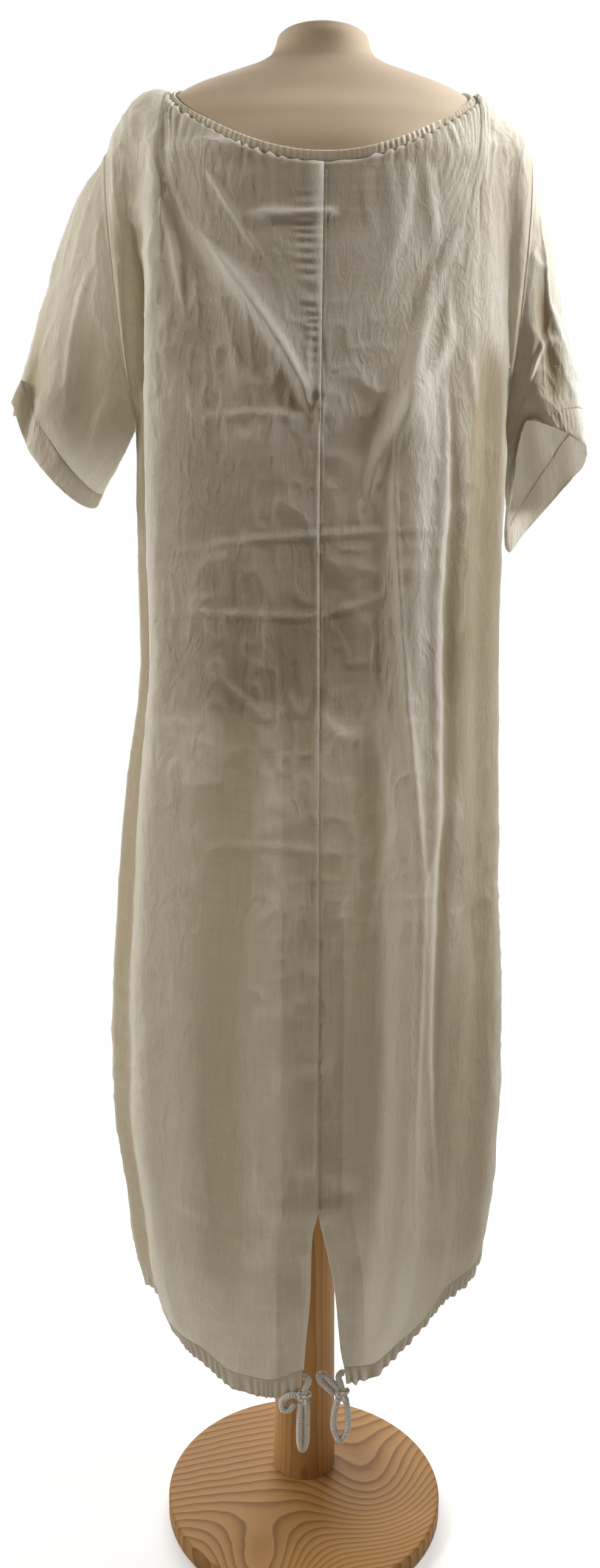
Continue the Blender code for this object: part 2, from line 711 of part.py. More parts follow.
def material(name, colour, roughness):
    """A plain Principled finish."""
    made = bpy.data.materials.new(name)
    made.use_nodes = True
    surface = made.node_tree.nodes["Principled BSDF"]
    surface.inputs["Base Color"].default_value = (*colour, 1.0)
    surface.inputs["Roughness"].default_value = roughness
    surface.inputs["Metallic"].default_value = 0.0
    return made


# Pieces


def make_foot(wood):
    """The round base and the tapered pole, which ends just under the form."""
    r, h, e = BASE_RADIUS, BASE_HEIGHT, BASE_EASE
    profile = [(0, 0), (r - e, 0), (r, e), (r, h - e), (r - 0.3 * e, h - 0.3 * e), (r - e, h), (0, h)]
    turned("base_disc", profile, 72, (0, -BASE_BEHIND_POLE), wood)
    bottom, top = BASE_HEIGHT + SEAM_GAP, FORM[0].height - SEAM_GAP
    profile = [(0, bottom), (POLE_FOOT_RADIUS, bottom), (POLE_TOP_RADIUS, top), (0, top)]
    turned("pole", profile, 40, (0, 0), wood)


def make_form(jersey):
    """The limbless torso, closed flat at the hips and with a low dome on the neck."""
    heights = []
    for low, high in zip(FORM, FORM[1:]):
        heights += [low.height, (low.height + high.height) / 2] if low.height > 1.5 else [low.height]
    heights.append(FORM[-1].height)
    angles = np.arange(FORM_COLUMNS) * 2 * math.pi / FORM_COLUMNS
    rings = [form_point(np.full(FORM_COLUMNS, h), angles) for h in heights]
    dome = rings[-1].copy()
    dome[:, :2] *= 0.72
    dome[:, 2] = NECK_TOP - 0.0015
    rings.append(dome)
    vertices = np.concatenate([*rings, [[0, 0, heights[0]], [0, 0, NECK_TOP]]])
    n, last = FORM_COLUMNS, len(rings) * FORM_COLUMNS
    faces = []
    for i in range(len(rings) - 1):
        for k in range(n):
            faces.append((i * n + k, i * n + (k + 1) % n, (i + 1) * n + (k + 1) % n, (i + 1) * n + k))
    top = (len(rings) - 1) * n
    faces += [((k + 1) % n, k, last) for k in range(n)]
    faces += [(top + k, top + (k + 1) % n, last + 1) for k in range(n)]
    new_object("torso", vertices, faces, jersey)


def make_body(linen):
    """Two back panels, one front panel, the gathered casing under each, and the vent's edges."""
    for name, side, part, folds in (
        ("back_left", -1, "left", BACK_FOLDS),
        ("back_right", -1, "right", BACK_FOLDS),
        ("front", 1, "whole", FRONT_FOLDS),
    ):
        grid, normals = panel(side, part, folds)
        wall(name, grid, normals, WALL, linen)
        make_hem(name, side, part, grid, normals, folds, linen)
        if part != "whole":
            make_vent_facing(name, part, grid, normals, linen)


def make_hem(panel_name, side, part, grid, normals, folds, linen):
    """The casing of the drawstring: its top edge follows the panel's, two gathers to a column."""
    columns = grid.shape[1] - 1
    bottom = []
    for share in (0.0, 0.5 * CASING / (CHEST - HEM_LOW)):
        places, points = body_row(side, part, 2 * columns, share)
        bottom.append(with_folds(np.array([points, points + [0, 0, 0.01]]), [places] * 2, part, folds)[0])
    top = np.empty((2 * columns + 1, 3))
    top[::2] = grid[0]
    top[1::2] = (grid[0, 1:] + grid[0, :-1]) / 2
    out = np.empty_like(top)
    out[::2] = normals[0]
    out[1::2] = unit(normals[0, 1:] + normals[0, :-1])
    top[:, 2] -= SEAM_GAP
    lines = np.array([*bottom, top])
    wave = np.where(np.arange(2 * columns + 1) % 2 == 0, -1.0, 1.0)[None, :] * np.array([0.6, 1.0, 0.0])[:, None]
    wave[:, [0, -1]] = 0
    outer = lines + out * (GATHER_RISE * wave)[..., None]
    wall(f"hem_{panel_name}", outer, np.broadcast_to(out, outer.shape), HEM_WALL + GATHER_RISE * wave, linen)


def make_vent_facing(panel_name, part, grid, normals, linen):
    """The turned-in edge of the vent, lying inside its back panel."""
    edge = slice(-1 - FACING_COLUMNS, None) if part == "left" else slice(0, FACING_COLUMNS + 1)
    out = normals[: FACING_ROWS + 1, edge]
    under = grid[: FACING_ROWS + 1, edge] - out * (WALL + FACING_GAP)
    wall(f"vent_facing_{part}", under, out, FACING_WALL, linen)


def make_sleeves(linen):
    """Both sleeves and the turned hems that end them."""
    for name, table, sign, folds in (
        ("left", LEFT_SLEEVE, -1, LEFT_SLEEVE_FOLDS),
        ("right", RIGHT_SLEEVE, 1, RIGHT_SLEEVE_FOLDS),
    ):
        seam = 1 - CUFF_SHARE
        grid, normals = sleeve_part(table, sign, folds, 0.0, seam, SLEEVE_ROWS)
        wall(f"sleeve_{name}", grid, normals, WALL, linen, closed=True)
        hung = 0.009
        grid, normals = sleeve_part(table, sign, folds, seam + hung, 1.0, 2)
        wall(f"cuff_{name}", grid, normals, HEM_WALL, linen, closed=True)


def make_neck_band(linen):
    """The gathered elastic casing of the neckline, half behind and half in front."""
    for name, side, segments, puckers in (
        ("neck_band_back", -1, BACK_NECK_COLUMNS, BACK_PUCKERS),
        ("neck_band_front", 1, FRONT_NECK_COLUMNS, FRONT_PUCKERS),
    ):
        count = 2 * segments
        knots = np.linspace(0, math.pi, count + 1)
        fine = np.linspace(0, count, count * puckers + 1)
        lines, ups = [], []
        for width in (0.0, 0.5 * BAND_WIDTH, BAND_WIDTH):
            points, normals = zip(*(neckline(side, float(turn), width) for turn in knots))
            lines.append([np.interp(fine, np.arange(count + 1), axis) for axis in np.array(points).T])
            ups.append([np.interp(fine, np.arange(count + 1), axis) for axis in np.array(normals).T])
        grid = np.moveaxis(np.array(lines), 1, 2)
        normals = unit(np.moveaxis(np.array(ups), 1, 2))
        grid[:, [0, -1], 1] = side * SEAM_GAP / 2
        normals[:, [0, -1], 1] = 0
        normals = unit(normals)
        wave = np.where(np.arange(len(fine)) % 2 == 0, 0.0, 1.0)[None, :] * np.array([0.5, 1.0, 0.0])[:, None]
        wave[:, [0, -1]] = 0
        rise = BAND_WALL + PUCKER_RISE * wave
        outer = grid + normals * (REST_GAP + rise)[..., None]
        wall(name, outer, normals, rise, linen)


def smooth_route(points, spacing):
    """Points about spacing apart on a smooth curve through the given ones."""
    p = np.array(points, float)
    p = np.vstack([2 * p[0] - p[1], p, 2 * p[-1] - p[-2]])
    made = []
    for a, b, c, d in zip(p, p[1:], p[2:], p[3:]):
        count = max(2, math.ceil(np.linalg.norm(c - b) / spacing))
        for t in np.arange(count) / count:
            made.append(
                0.5 * (2 * b + (c - a) * t + (2 * a - 5 * b + 4 * c - d) * t * t + (3 * b - a - 3 * c + d) * t**3)
            )
    return [*made, p[-2]]


def make_cord(name, knot, points, cotton):
    """A tube along a route that is given from the middle of its knot."""
    route = [np.array(knot) + np.array(p) for p in points]
    curve = bpy.data.curves.new(name, "CURVE")
    curve.dimensions = "3D"
    curve.bevel_depth = CORD_DIAMETER / 2
    curve.bevel_resolution = 2
    curve.use_fill_caps = True
    line = smooth_route(route, 0.0055)
    spline = curve.splines.new("POLY")
    spline.points.add(len(line) - 1)
    for target, point in zip(spline.points, line):
        target.co = (*map(float, point), 1.0)
    curve.materials.append(cotton)
    made = bpy.data.objects.new(name, curve)
    bpy.context.scene.collection.objects.link(made)


def make_knot(name, centre, cotton):
    """A pulled-tight overhand knot: a ball with the bulges of its two wraps."""
    rings, segments = 8, 14
    x0, y0, z0 = centre
    flat = KNOT_RADIUS - 0.0012
    vertices = [(x0, y0, z0 - flat), (x0, y0, z0 + flat)]
    for i in range(1, rings):
        tilt = math.pi * i / rings
        for k in range(segments):
            turn = 2 * math.pi * k / segments
            lump = 1 + 0.09 * math.cos(3 * turn + 2.2 * tilt) * math.sin(tilt)
            radius = KNOT_RADIUS * lump * math.sin(tilt)
            vertices.append((x0 + radius * math.cos(turn), y0 + radius * math.sin(turn), z0 - flat * math.cos(tilt)))

    def at(i, k):
        return 2 + (i - 1) * segments + k % segments

    faces = [(0, at(1, k + 1), at(1, k)) for k in range(segments)]
    for i in range(1, rings - 1):
        faces += [(at(i, k), at(i, k + 1), at(i + 1, k + 1), at(i + 1, k)) for k in range(segments)]
    faces += [(1, at(rings - 1, k), at(rings - 1, k + 1)) for k in range(segments)]
    new_object(name, vertices, faces, cotton)


def make_drawstring(cotton):
    """The cord's two ends: each leaves its mouth of the casing and is knotted into a loop."""
    for side, knot, lead, loop, tail in (
        ("left", LEFT_KNOT, LEFT_LEAD, LEFT_LOOP, LEFT_TAIL),
        ("right", RIGHT_KNOT, RIGHT_LEAD, RIGHT_LOOP, RIGHT_TAIL),
    ):
        make_knot(f"knot_{side}", knot, cotton)
        make_cord(f"cord_lead_{side}", knot, lead, cotton)
        make_cord(f"cord_loop_{side}", knot, loop, cotton)
        make_cord(f"cord_tail_{side}", knot, tail, cotton)


def main():
    for old in list(bpy.data.objects):
        bpy.data.objects.remove(old)
    linen = material("linen", (0.56, 0.53, 0.45), 0.9)
    wood = material("pine", (0.62, 0.38, 0.18), 0.45)
    jersey = material("jersey", (0.66, 0.58, 0.46), 0.85)
    make_foot(wood)
    make_form(jersey)
    make_body(linen)
    make_sleeves(linen)
    make_neck_band(linen)
    make_drawstring(linen)


main()
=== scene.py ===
"""Looks of a crinkled linen summer dress on a limbless dress form with a pine foot.

Metres, +Z up. The back of the dress faces -Y, and +X is the wearer's right. Every cloth piece is
a thin closed shell whose outer face is worked out from the same sizes as its CAD solid, and it
replaces that solid. Names with left and right are the wearer's sides.
"""

import logging
import math
from dataclasses import dataclass, field
from enum import Enum
from typing import NamedTuple

import bpy
import numpy as np
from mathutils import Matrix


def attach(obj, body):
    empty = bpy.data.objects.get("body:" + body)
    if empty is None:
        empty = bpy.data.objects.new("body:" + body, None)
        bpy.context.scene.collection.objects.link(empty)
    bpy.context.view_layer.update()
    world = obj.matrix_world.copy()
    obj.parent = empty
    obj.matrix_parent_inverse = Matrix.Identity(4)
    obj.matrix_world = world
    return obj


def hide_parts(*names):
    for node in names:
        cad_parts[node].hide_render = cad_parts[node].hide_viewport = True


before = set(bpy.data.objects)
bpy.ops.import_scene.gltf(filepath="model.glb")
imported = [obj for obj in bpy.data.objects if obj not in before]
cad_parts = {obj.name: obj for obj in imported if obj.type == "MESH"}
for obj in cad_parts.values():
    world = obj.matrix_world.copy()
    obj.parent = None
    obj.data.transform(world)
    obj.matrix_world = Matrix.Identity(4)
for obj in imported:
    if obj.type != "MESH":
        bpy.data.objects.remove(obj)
log = logging.getLogger("dress")

Array = np.ndarray


class Side(Enum):
    """The half of the dress, as the sign of its Y."""

    BACK = -1
    FRONT = 1


class Part(Enum):
    """How much of its side a body panel covers."""

    LEFT = "left"
    RIGHT = "right"
    WHOLE = "whole"


class Profile(Enum):
    """The cross-section of a crease."""

    RIDGE = "ridge"
    STEP = "step"


class Girth(NamedTuple):
    """A level of the dress form."""

    height: float
    half_width: float
    back: float
    front: float
    squareness: float


class Section(NamedTuple):
    """A level of the dress below the armholes."""

    height: float
    left: float
    right: float
    back: float
    front: float
    squareness: float


class HemPoint(NamedTuple):
    """Height of the hem at a place from -1, the left side seam, to 1, the right one."""

    place: float
    back: float
    front: float


class VentRow(NamedTuple):
    """Where the two edges of the vent hang at a height."""

    height: float
    left_edge: float
    right_edge: float


class ShoulderPoint(NamedTuple):
    """A point of both shoulder seams."""

    share: float
    left: float
    left_height: float
    right: float
    right_height: float


class Cut(NamedTuple):
    """A ring of a sleeve: its top crease, its lower fold and half its thickness."""

    share: float
    top_out: float
    top_height: float
    low_out: float
    low_height: float
    half_depth: float
    back_lift: float


class Fold(NamedTuple):
    """A hanging fold of a body panel, between two heights, with its place at each."""

    top_place: float
    low_place: float
    top: float
    low: float
    width: float
    rise: float


class SleeveFold(NamedTuple):
    """A fold along a sleeve, from share start to share end."""

    place: float
    width: float
    start: float
    end: float
    rise: float


class Crease(NamedTuple):
    """A crease pressed or pulled into the cloth along points of (across, height)."""

    points: tuple[tuple[float, float], ...]
    width: float
    rise: float
    profile: Profile = Profile.RIDGE


# Curves and noise


def eased(rows: tuple, key: str, value: str, at: Array) -> Array:
    """Values of one column of a table, on a smooth curve that never overshoots its rows.

    The curve is a cubic Hermite spline whose slopes are the harmonic means of the rises beside
    each row, and zero where the rises change sign.

    Args:
        rows: The table.
        key: Name of the column that is looked up.
        value: Name of the column that is returned.
        at: Where to read it.

    Returns:
        The values, in the shape of at.
    """
    x = np.array([getattr(row, key) for row in rows], float)
    y = np.array([getattr(row, value) for row in rows], float)
    step = np.diff(x)
    rise = np.diff(y) / step
    slope = np.zeros_like(y)
    both = rise[1:] + rise[:-1]
    same_way = rise[1:] * rise[:-1] > 0
    slope[1:-1] = np.where(same_way, 2 * rise[1:] * rise[:-1] / np.where(same_way, both, 1.0), 0.0)
    slope[0], slope[-1] = rise[0], rise[-1]
    at = np.clip(np.asarray(at, float), x[0], x[-1])
    i = np.clip(np.searchsorted(x, at, side="right") - 1, 0, len(x) - 2)
    t = (at - x[i]) / step[i]
    return (
        y[i] * (1 + 2 * t) * (1 - t) ** 2
        + slope[i] * step[i] * t * (1 - t) ** 2
        + y[i + 1] * t * t * (3 - 2 * t)
        + slope[i + 1] * step[i] * t * t * (t - 1)
    )


def smoothstep(low: float, high: float, x: Array) -> Array:
    """0 below low, 1 above high, and 3t² - 2t³ between."""
    t = np.clip((np.asarray(x, float) - low) / (high - low), 0.0, 1.0)
    return t * t * (3 - 2 * t)


def unit(vectors: Array) -> Array:
    """Each vector divided by its length."""
    return vectors / np.maximum(np.linalg.norm(vectors, axis=-1, keepdims=True), 1e-12)


def bezier(p0: Array, p1: Array, p2: Array, p3: Array, t: Array) -> Array:
    """Point at t on a cubic Bernstein curve with ends p0 and p3 and handles p1 and p2."""
    t = np.asarray(t, float)[..., None]
    return (1 - t) ** 3 * p0 + 3 * t * (1 - t) ** 2 * p1 + 3 * t * t * (1 - t) * p2 + t**3 * p3


def noise(x: Array, y: Array, seed: int) -> Array:
    """Smooth noise from -1 to 1: seeded values on a unit lattice, blended by 6t⁵ - 15t⁴ + 10t³."""
    table = np.random.default_rng(seed).uniform(-1, 1, (256, 256))
    i, j = np.floor(x).astype(int), np.floor(y).astype(int)
    u, v = x - i, y - j
    u = u**3 * (u * (u * 6 - 15) + 10)
    v = v**3 * (v * (v * 6 - 15) + 10)
    i0, j0, i1, j1 = i & 255, j & 255, (i + 1) & 255, (j + 1) & 255
    low = table[i0, j0] * (1 - u) + table[i1, j0] * u
    high = table[i0, j1] * (1 - u) + table[i1, j1] * u
    return low * (1 - v) + high * v


def ridges(x: Array, y: Array, seed: int, sharpness: float = 2.5) -> Array:
    """Thin crests from 0 to 1 where smooth noise changes sign: (1 - |noise|) to a power."""
    return (1 - np.abs(noise(x, y, seed))) ** sharpness


def smooth_line(points: tuple, pieces: int) -> Array:
    """A Catmull-Rom curve through the points, with so many pieces between each two."""
    p = np.array(points, float)
    p = np.vstack([2 * p[0] - p[1], p, 2 * p[-1] - p[-2]])
    a, b, c, d = (p[k : len(p) - 3 + k, None] for k in range(4))
    t = (np.arange(pieces) / pieces)[None, :, None]
    curve = 0.5 * (2 * b + (c - a) * t + (2 * a - 5 * b + 4 * c - d) * t**2 + (3 * b - a - 3 * c + d) * t**3)
    return np.vstack([curve.reshape(-1, p.shape[1]), p[-2]])


def crease_lift(creases: tuple, across: Array, height: Array) -> Array:
    """Sum of the creases' lifts: a bell over the distance to each line, or for a step the bell
    times the signed distance, with both ends of each line fading out.

    Args:
        creases: The creases.
        across: Cloth distance from the middle, in metres.
        height: Height, in metres.

    Returns:
        The lift of each point.
    """
    total = np.zeros(across.shape)
    for crease in creases:
        line = smooth_line(crease.points, 6)
        reach = 3 * crease.width
        low, high = line.min(0) - reach, line.max(0) + reach
        near = (across > low[0]) & (across < high[0]) & (height > low[1]) & (height < high[1])
        if not near.any():
            continue
        p = np.stack([across[near], height[near]], axis=-1)[:, None]
        a, d = line[None, :-1], np.diff(line, axis=0)[None]
        t = np.clip(((p - a) * d).sum(-1) / (d * d).sum(-1), 0, 1)
        off = p - a - t[..., None] * d
        far = np.hypot(off[..., 0], off[..., 1])
        best = far.argmin(1)
        pick = np.arange(len(best)), best
        along = (best + t[pick]) / (len(line) - 1)
        ends = smoothstep(0.0, 0.25, along) * (1 - smoothstep(0.6, 1.0, along))
        scaled = far[pick] / (crease.width * (0.30 + 0.70 * ends))
        lift = np.exp(-(scaled**2))
        if crease.profile is Profile.STEP:
            step = d[0, best]
            turn = np.sign(off[pick][:, 0] * step[:, 1] - off[pick][:, 1] * step[:, 0])
            lift = 1.6 * turn * scaled * lift
        total[near] += crease.rise * ends * lift
    return total


def grid_normals(grid: Array, closed: bool = False) -> Array:
    """Unit normals of a grid of points: the cross product of its column and row tangents."""
    up = np.gradient(grid, axis=0)
    if closed:
        across = np.roll(grid, -1, axis=1) - np.roll(grid, 1, axis=1)
    else:
        across = np.gradient(grid, axis=1)
    return unit(np.cross(across, up))


def facing_out(normals: Array, grid: Array, centre: Array) -> Array:
    """The same normals, all turned away from a centre."""
    return -normals if np.sum(normals * (grid - centre)) < 0 else normals


# Meshes


def new_piece(name: str, points: Array, faces: Array, material: bpy.types.Material, uv: Array | None = None,
              marks: dict[str, Array] | None = None) -> bpy.types.Object:
    """A smooth mesh object that rides on the root body.

    Args:
        name: Name of the piece.
        points: Corner points, (n, 3).
        faces: Four corner numbers a face, (m, 4). A triangle repeats its last corner.
        material: Its finish.
        uv: Cloth position of each corner point, (n, 2), in metres.
        marks: Values to keep as float attributes of the points.

    Returns:
        The object.
    """
    faces = np.asarray(faces)
    volume = np.linalg.det(points[faces[:, :3]]).sum() + np.linalg.det(points[faces[:, [0, 2, 3]]]).sum()
    if volume < 0:
        faces = faces[:, ::-1]
    mesh = bpy.data.meshes.new(name)
    mesh.from_pydata(points.tolist(), [], [list(dict.fromkeys(f)) for f in faces.tolist()])
    mesh.shade_smooth()
    corner = np.empty(len(mesh.loops), np.int32)
    mesh.loops.foreach_get("vertex_index", corner)
    if uv is not None:
        mesh.uv_layers.new(name="Cloth").data.foreach_set("uv", uv[corner].astype(np.float32).ravel())
    for label, values in (marks or {}).items():
        mesh.attributes.new(label, "FLOAT", "POINT").data.foreach_set("value", values.astype(np.float32))
    mesh.materials.append(material)
    piece = bpy.data.objects.new(name, mesh)
    bpy.context.scene.collection.objects.link(piece)
    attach(piece, "root")
    return piece


def sheet_faces(rows: int, columns: int, closed: bool) -> Array:
    """Corner numbers of the quads of a grid, (m, 4)."""
    i, j = np.meshgrid(np.arange(rows - 1), np.arange(columns if closed else columns - 1), indexing="ij")
    k = (j + 1) % columns
    corners = [i * columns + j, i * columns + k, (i + 1) * columns + k, (i + 1) * columns + j]
    return np.stack(corners, -1).reshape(-1, 4)


def shell(name: str, outer: Array, inner: Array, material: bpy.types.Material, closed: bool = False,
          uv: Array | None = None, marks: dict[str, Array] | None = None) -> bpy.types.Object:
    """A closed wall of cloth between two grids, with a rim along each open edge.

    Args:
        name: Name of the piece.
        outer: Outer face, (rows, columns, 3).
        inner: Inner face, in the same order.
        material: Its finish.
        closed: Whether the last column meets the first one.
        uv: Cloth position of each grid point, (rows, columns, 2).
        marks: Values at each grid point, kept for the material.

    Returns:
        The object.
    """
    rows, columns = outer.shape[:2]
    quads = sheet_faces(rows, columns, closed)
    count = rows * columns
    number = np.arange(count).reshape(rows, columns)
    if closed:
        ring = np.append(number, number[:, :1], axis=1)
        rims = [ring[0, ::-1], ring[-1]]
    else:
        rims = [number[0, ::-1], number[-1], number[:, 0], number[::-1, -1]]
    edge = [np.stack([rim[:-1], rim[1:], count + rim[1:], count + rim[:-1]], -1) for rim in rims]
    faces = np.concatenate([quads, count + quads[:, ::-1], *edge])
    points = np.concatenate([outer.reshape(-1, 3), inner.reshape(-1, 3)])
    both = {k: np.tile(v.reshape(-1), 2) for k, v in (marks or {}).items()}
    cloth = None if uv is None else np.tile(uv.reshape(-1, 2), (2, 1))
    return new_piece(name, points, faces, material, cloth, both)


def tube(name: str, rings: Array, material: bpy.types.Material, uv: Array | None = None,
         marks: dict[str, Array] | None = None, looped: bool = False) -> bpy.types.Object:
    """A closed tube through rings of points, (rings, around, 3), with a flat cap on each end.

    Args:
        name: Name of the piece.
        rings: The rings, in order.
        material: Its finish.
        uv: Position of each ring point on the surface.
        marks: Values at each ring point, kept for the material.
        looped: Whether the last ring meets the first, with no caps.

    Returns:
        The object.
    """
    count, around = rings.shape[:2]
    points = rings.reshape(-1, 3)
    uv = None if uv is None else uv.reshape(-1, 2)
    marks = {k: v.reshape(-1) for k, v in (marks or {}).items()}
    quads = sheet_faces(count, around, True)
    if looped:
        last, first = (count - 1) * around + np.arange(around), np.arange(around)
        link = np.stack([last, np.roll(last, -1), np.roll(first, -1), first], -1)
        return new_piece(name, points, np.concatenate([quads, link]), material, uv, marks)
    n = len(points)
    points = np.concatenate([points, [rings[0].mean(0), rings[-1].mean(0)]])
    first, last = np.arange(around), (count - 1) * around + np.arange(around)
    caps = [np.stack([np.roll(first, -1), first, np.full(around, n), np.full(around, n)], -1),
            np.stack([last, np.roll(last, -1), np.full(around, n + 1), np.full(around, n + 1)], -1)]
    if uv is not None:
        uv = np.concatenate([uv, uv[:1], uv[-1:]])
    marks = {k: np.concatenate([v, v[:1], v[-1:]]) for k, v in marks.items()}
    return new_piece(name, points, np.concatenate([quads, *caps]), material, uv, marks)


# Shader effects that several finishes share


class Effects:
    """Node groups, each built once and placed in every material that uses it."""

    def __init__(self) -> None:
        """Builds the groups."""
        self.weave = self._weave()
        self.crinkle = self._crinkle()
        self.grain = self._grain()

    @staticmethod
    def _group(name: str, inputs: dict[str, float], outputs: dict[str, str]) -> tuple:
        """A new group with float inputs, its given outputs, and its own two end nodes."""
        group = bpy.data.node_groups.new(name, "ShaderNodeTree")
        group.interface.new_socket("Vector", in_out="INPUT", socket_type="NodeSocketVector")
        for label, value in inputs.items():
            socket = group.interface.new_socket(label, in_out="INPUT", socket_type="NodeSocketFloat")
            socket.default_value = value
        for label, kind in outputs.items():
            group.interface.new_socket(label, in_out="OUTPUT", socket_type=f"NodeSocket{kind}")
        return group, group.nodes.new("NodeGroupInput"), group.nodes.new("NodeGroupOutput")

    def _weave(self) -> bpy.types.NodeTree:
        """Crossed threads: the product of two sine waves, with thick and thin yarns along both."""
        group, start, end = self._group("Linen weave", {"Threads": 900.0, "Slub": 0.5},
                                        {"Height": "Float", "Yarn": "Float"})
        net = Net(group)
        apart = net.add("ShaderNodeSeparateXYZ", Vector=start.outputs["Vector"])
        waves = []
        for axis in ("X", "Y"):
            pitch = net.math("MULTIPLY", start.outputs["Threads"], math.tau)
            waves.append(net.math("SINE", net.math("MULTIPLY", apart.outputs[axis], pitch)))
        cross = net.math("MULTIPLY", waves[0], waves[1])
        yarns = []
        for scale in ((1.0, 0.035, 1.0), (0.035, 1.0, 1.0)):
            stretched = net.add("ShaderNodeMapping", Vector=start.outputs["Vector"], Scale=scale)
            thick = net.add("ShaderNodeTexNoise", Vector=stretched.outputs[0], Scale=420.0, Detail=1.0)
            yarns.append(thick.outputs["Fac"])
        yarn = net.math("ADD", yarns[0], yarns[1])
        slub = net.math("MULTIPLY", net.math("SUBTRACT", yarn, 1.0), start.outputs["Slub"])
        group.links.new(net.math("ADD", net.math("MULTIPLY", cross, 0.5), slub), end.inputs["Height"])
        group.links.new(net.math("ADD", slub, 0.5), end.inputs["Yarn"])
        return group

    def _crinkle(self) -> bpy.types.NodeTree:
        """Small creases of washed linen: the crests of two noises, wide ones over fine ones."""
        group, start, end = self._group("Washed crinkle", {"Scale": 60.0, "Fine": 0.4},
                                        {"Height": "Float", "Blotch": "Float"})
        net = Net(group)
        heights = []
        for times, detail in ((1.0, 2.0), (3.1, 1.0)):
            scale = net.math("MULTIPLY", start.outputs["Scale"], times)
            cloud = net.add("ShaderNodeTexNoise", Vector=start.outputs["Vector"], Scale=scale,
                            Detail=detail, Distortion=0.6)
            folded = net.math("ABSOLUTE", net.math("SUBTRACT", cloud.outputs["Fac"], 0.5))
            heights.append(net.math("SUBTRACT", 1.0, net.math("MULTIPLY", folded, 5.0, clamp=True)))
        fine = net.math("MULTIPLY", heights[1], start.outputs["Fine"])
        group.links.new(net.math("ADD", heights[0], fine), end.inputs["Height"])
        slow = net.math("MULTIPLY", start.outputs["Scale"], 0.12)
        low = net.add("ShaderNodeTexNoise", Vector=start.outputs["Vector"], Scale=slow, Detail=3.0)
        group.links.new(low.outputs["Fac"], end.inputs["Blotch"])
        return group

    def _grain(self) -> bpy.types.NodeTree:
        """Growth rings of plain-sawn pine: contour lines of a slow noise added to a slope. Each
        ring lightens slowly and ends in a dark line, and fine fibres run along it."""
        inputs = {"Rings": 60.0, "Swirl": 4.0, "Swirl scale": 4.5, "Fibre": 260.0, "Hills": 0.0}
        group, start, end = self._group("Pine grain", inputs, {"Ring": "Float", "Fibre": "Float"})
        net = Net(group)
        apart = net.add("ShaderNodeSeparateXYZ", Vector=start.outputs["Vector"])
        cloud = net.add("ShaderNodeTexNoise", Vector=start.outputs["Vector"],
                        Scale=start.outputs["Swirl scale"], Detail=0.0)
        ripple = net.add("ShaderNodeTexNoise", Vector=start.outputs["Vector"], Scale=26.0, Detail=2.0)
        slope = net.math("MULTIPLY", apart.outputs["Y"], start.outputs["Rings"])
        swirl = net.math("MULTIPLY", cloud.outputs["Fac"], start.outputs["Swirl"])
        rough = net.math("MULTIPLY", ripple.outputs["Fac"], 0.55)
        whole = net.math("ADD", net.math("ADD", slope, swirl), rough)
        whole = net.math("ADD", whole, start.outputs["Hills"])
        group.links.new(net.math("FRACT", whole), end.inputs["Ring"])
        stretched = net.add("ShaderNodeMapping", Vector=start.outputs["Vector"], Scale=(0.05, 1.0, 1.0))
        fibre = net.add("ShaderNodeTexNoise", Vector=stretched.outputs[0],
                        Scale=start.outputs["Fibre"], Detail=2.0)
        group.links.new(fibre.outputs["Fac"], end.inputs["Fibre"])
        return group


class Net:
    """Short calls that add nodes to one node tree and link them."""

    def __init__(self, tree: bpy.types.NodeTree) -> None:
        """Keeps the tree that the nodes go into."""
        self.tree = tree

    def put(self, socket: bpy.types.NodeSocket, value: object) -> None:
        """Links an output to the socket, or sets the socket to a number or tuple."""
        if isinstance(value, bpy.types.NodeSocket):
            self.tree.links.new(value, socket)
        else:
            socket.default_value = value

    def add(self, kind: str, **inputs: object) -> bpy.types.Node:
        """Adds a node with the given inputs, where _ in a name stands for a space."""
        node = self.tree.nodes.new(kind)
        for label, value in inputs.items():
            self.put(node.inputs[label.replace("_", " ")], value)
        return node

    def group(self, tree: bpy.types.NodeTree, **inputs: object) -> bpy.types.Node:
        """Adds a node group with the given inputs."""
        node = self.tree.nodes.new("ShaderNodeGroup")
        node.node_tree = tree
        for label, value in inputs.items():
            self.put(node.inputs[label.replace("_", " ")], value)
        return node

    def math(self, operation: str, first: object, second: object = 0.0,
             clamp: bool = False) -> bpy.types.NodeSocket:
        """Adds a Math node and returns its result."""
        node = self.tree.nodes.new("ShaderNodeMath")
        node.operation = operation
        node.use_clamp = clamp
        self.put(node.inputs[0], first)
        self.put(node.inputs[1], second)
        return node.outputs[0]

    def mix(self, share: object, first: object, second: object) -> bpy.types.NodeSocket:
        """Adds a colour Mix node and returns its result."""
        node = self.tree.nodes.new("ShaderNodeMix")
        node.data_type = "RGBA"
        for socket, value in ((node.inputs[0], share), (node.inputs[6], first), (node.inputs[7], second)):
            self.put(socket, value)
        return node.outputs[2]


def rgb(red: float, green: float, blue: float) -> tuple[float, float, float, float]:
    """A colour with full alpha."""
    return (red, green, blue, 1.0)


# Finishes


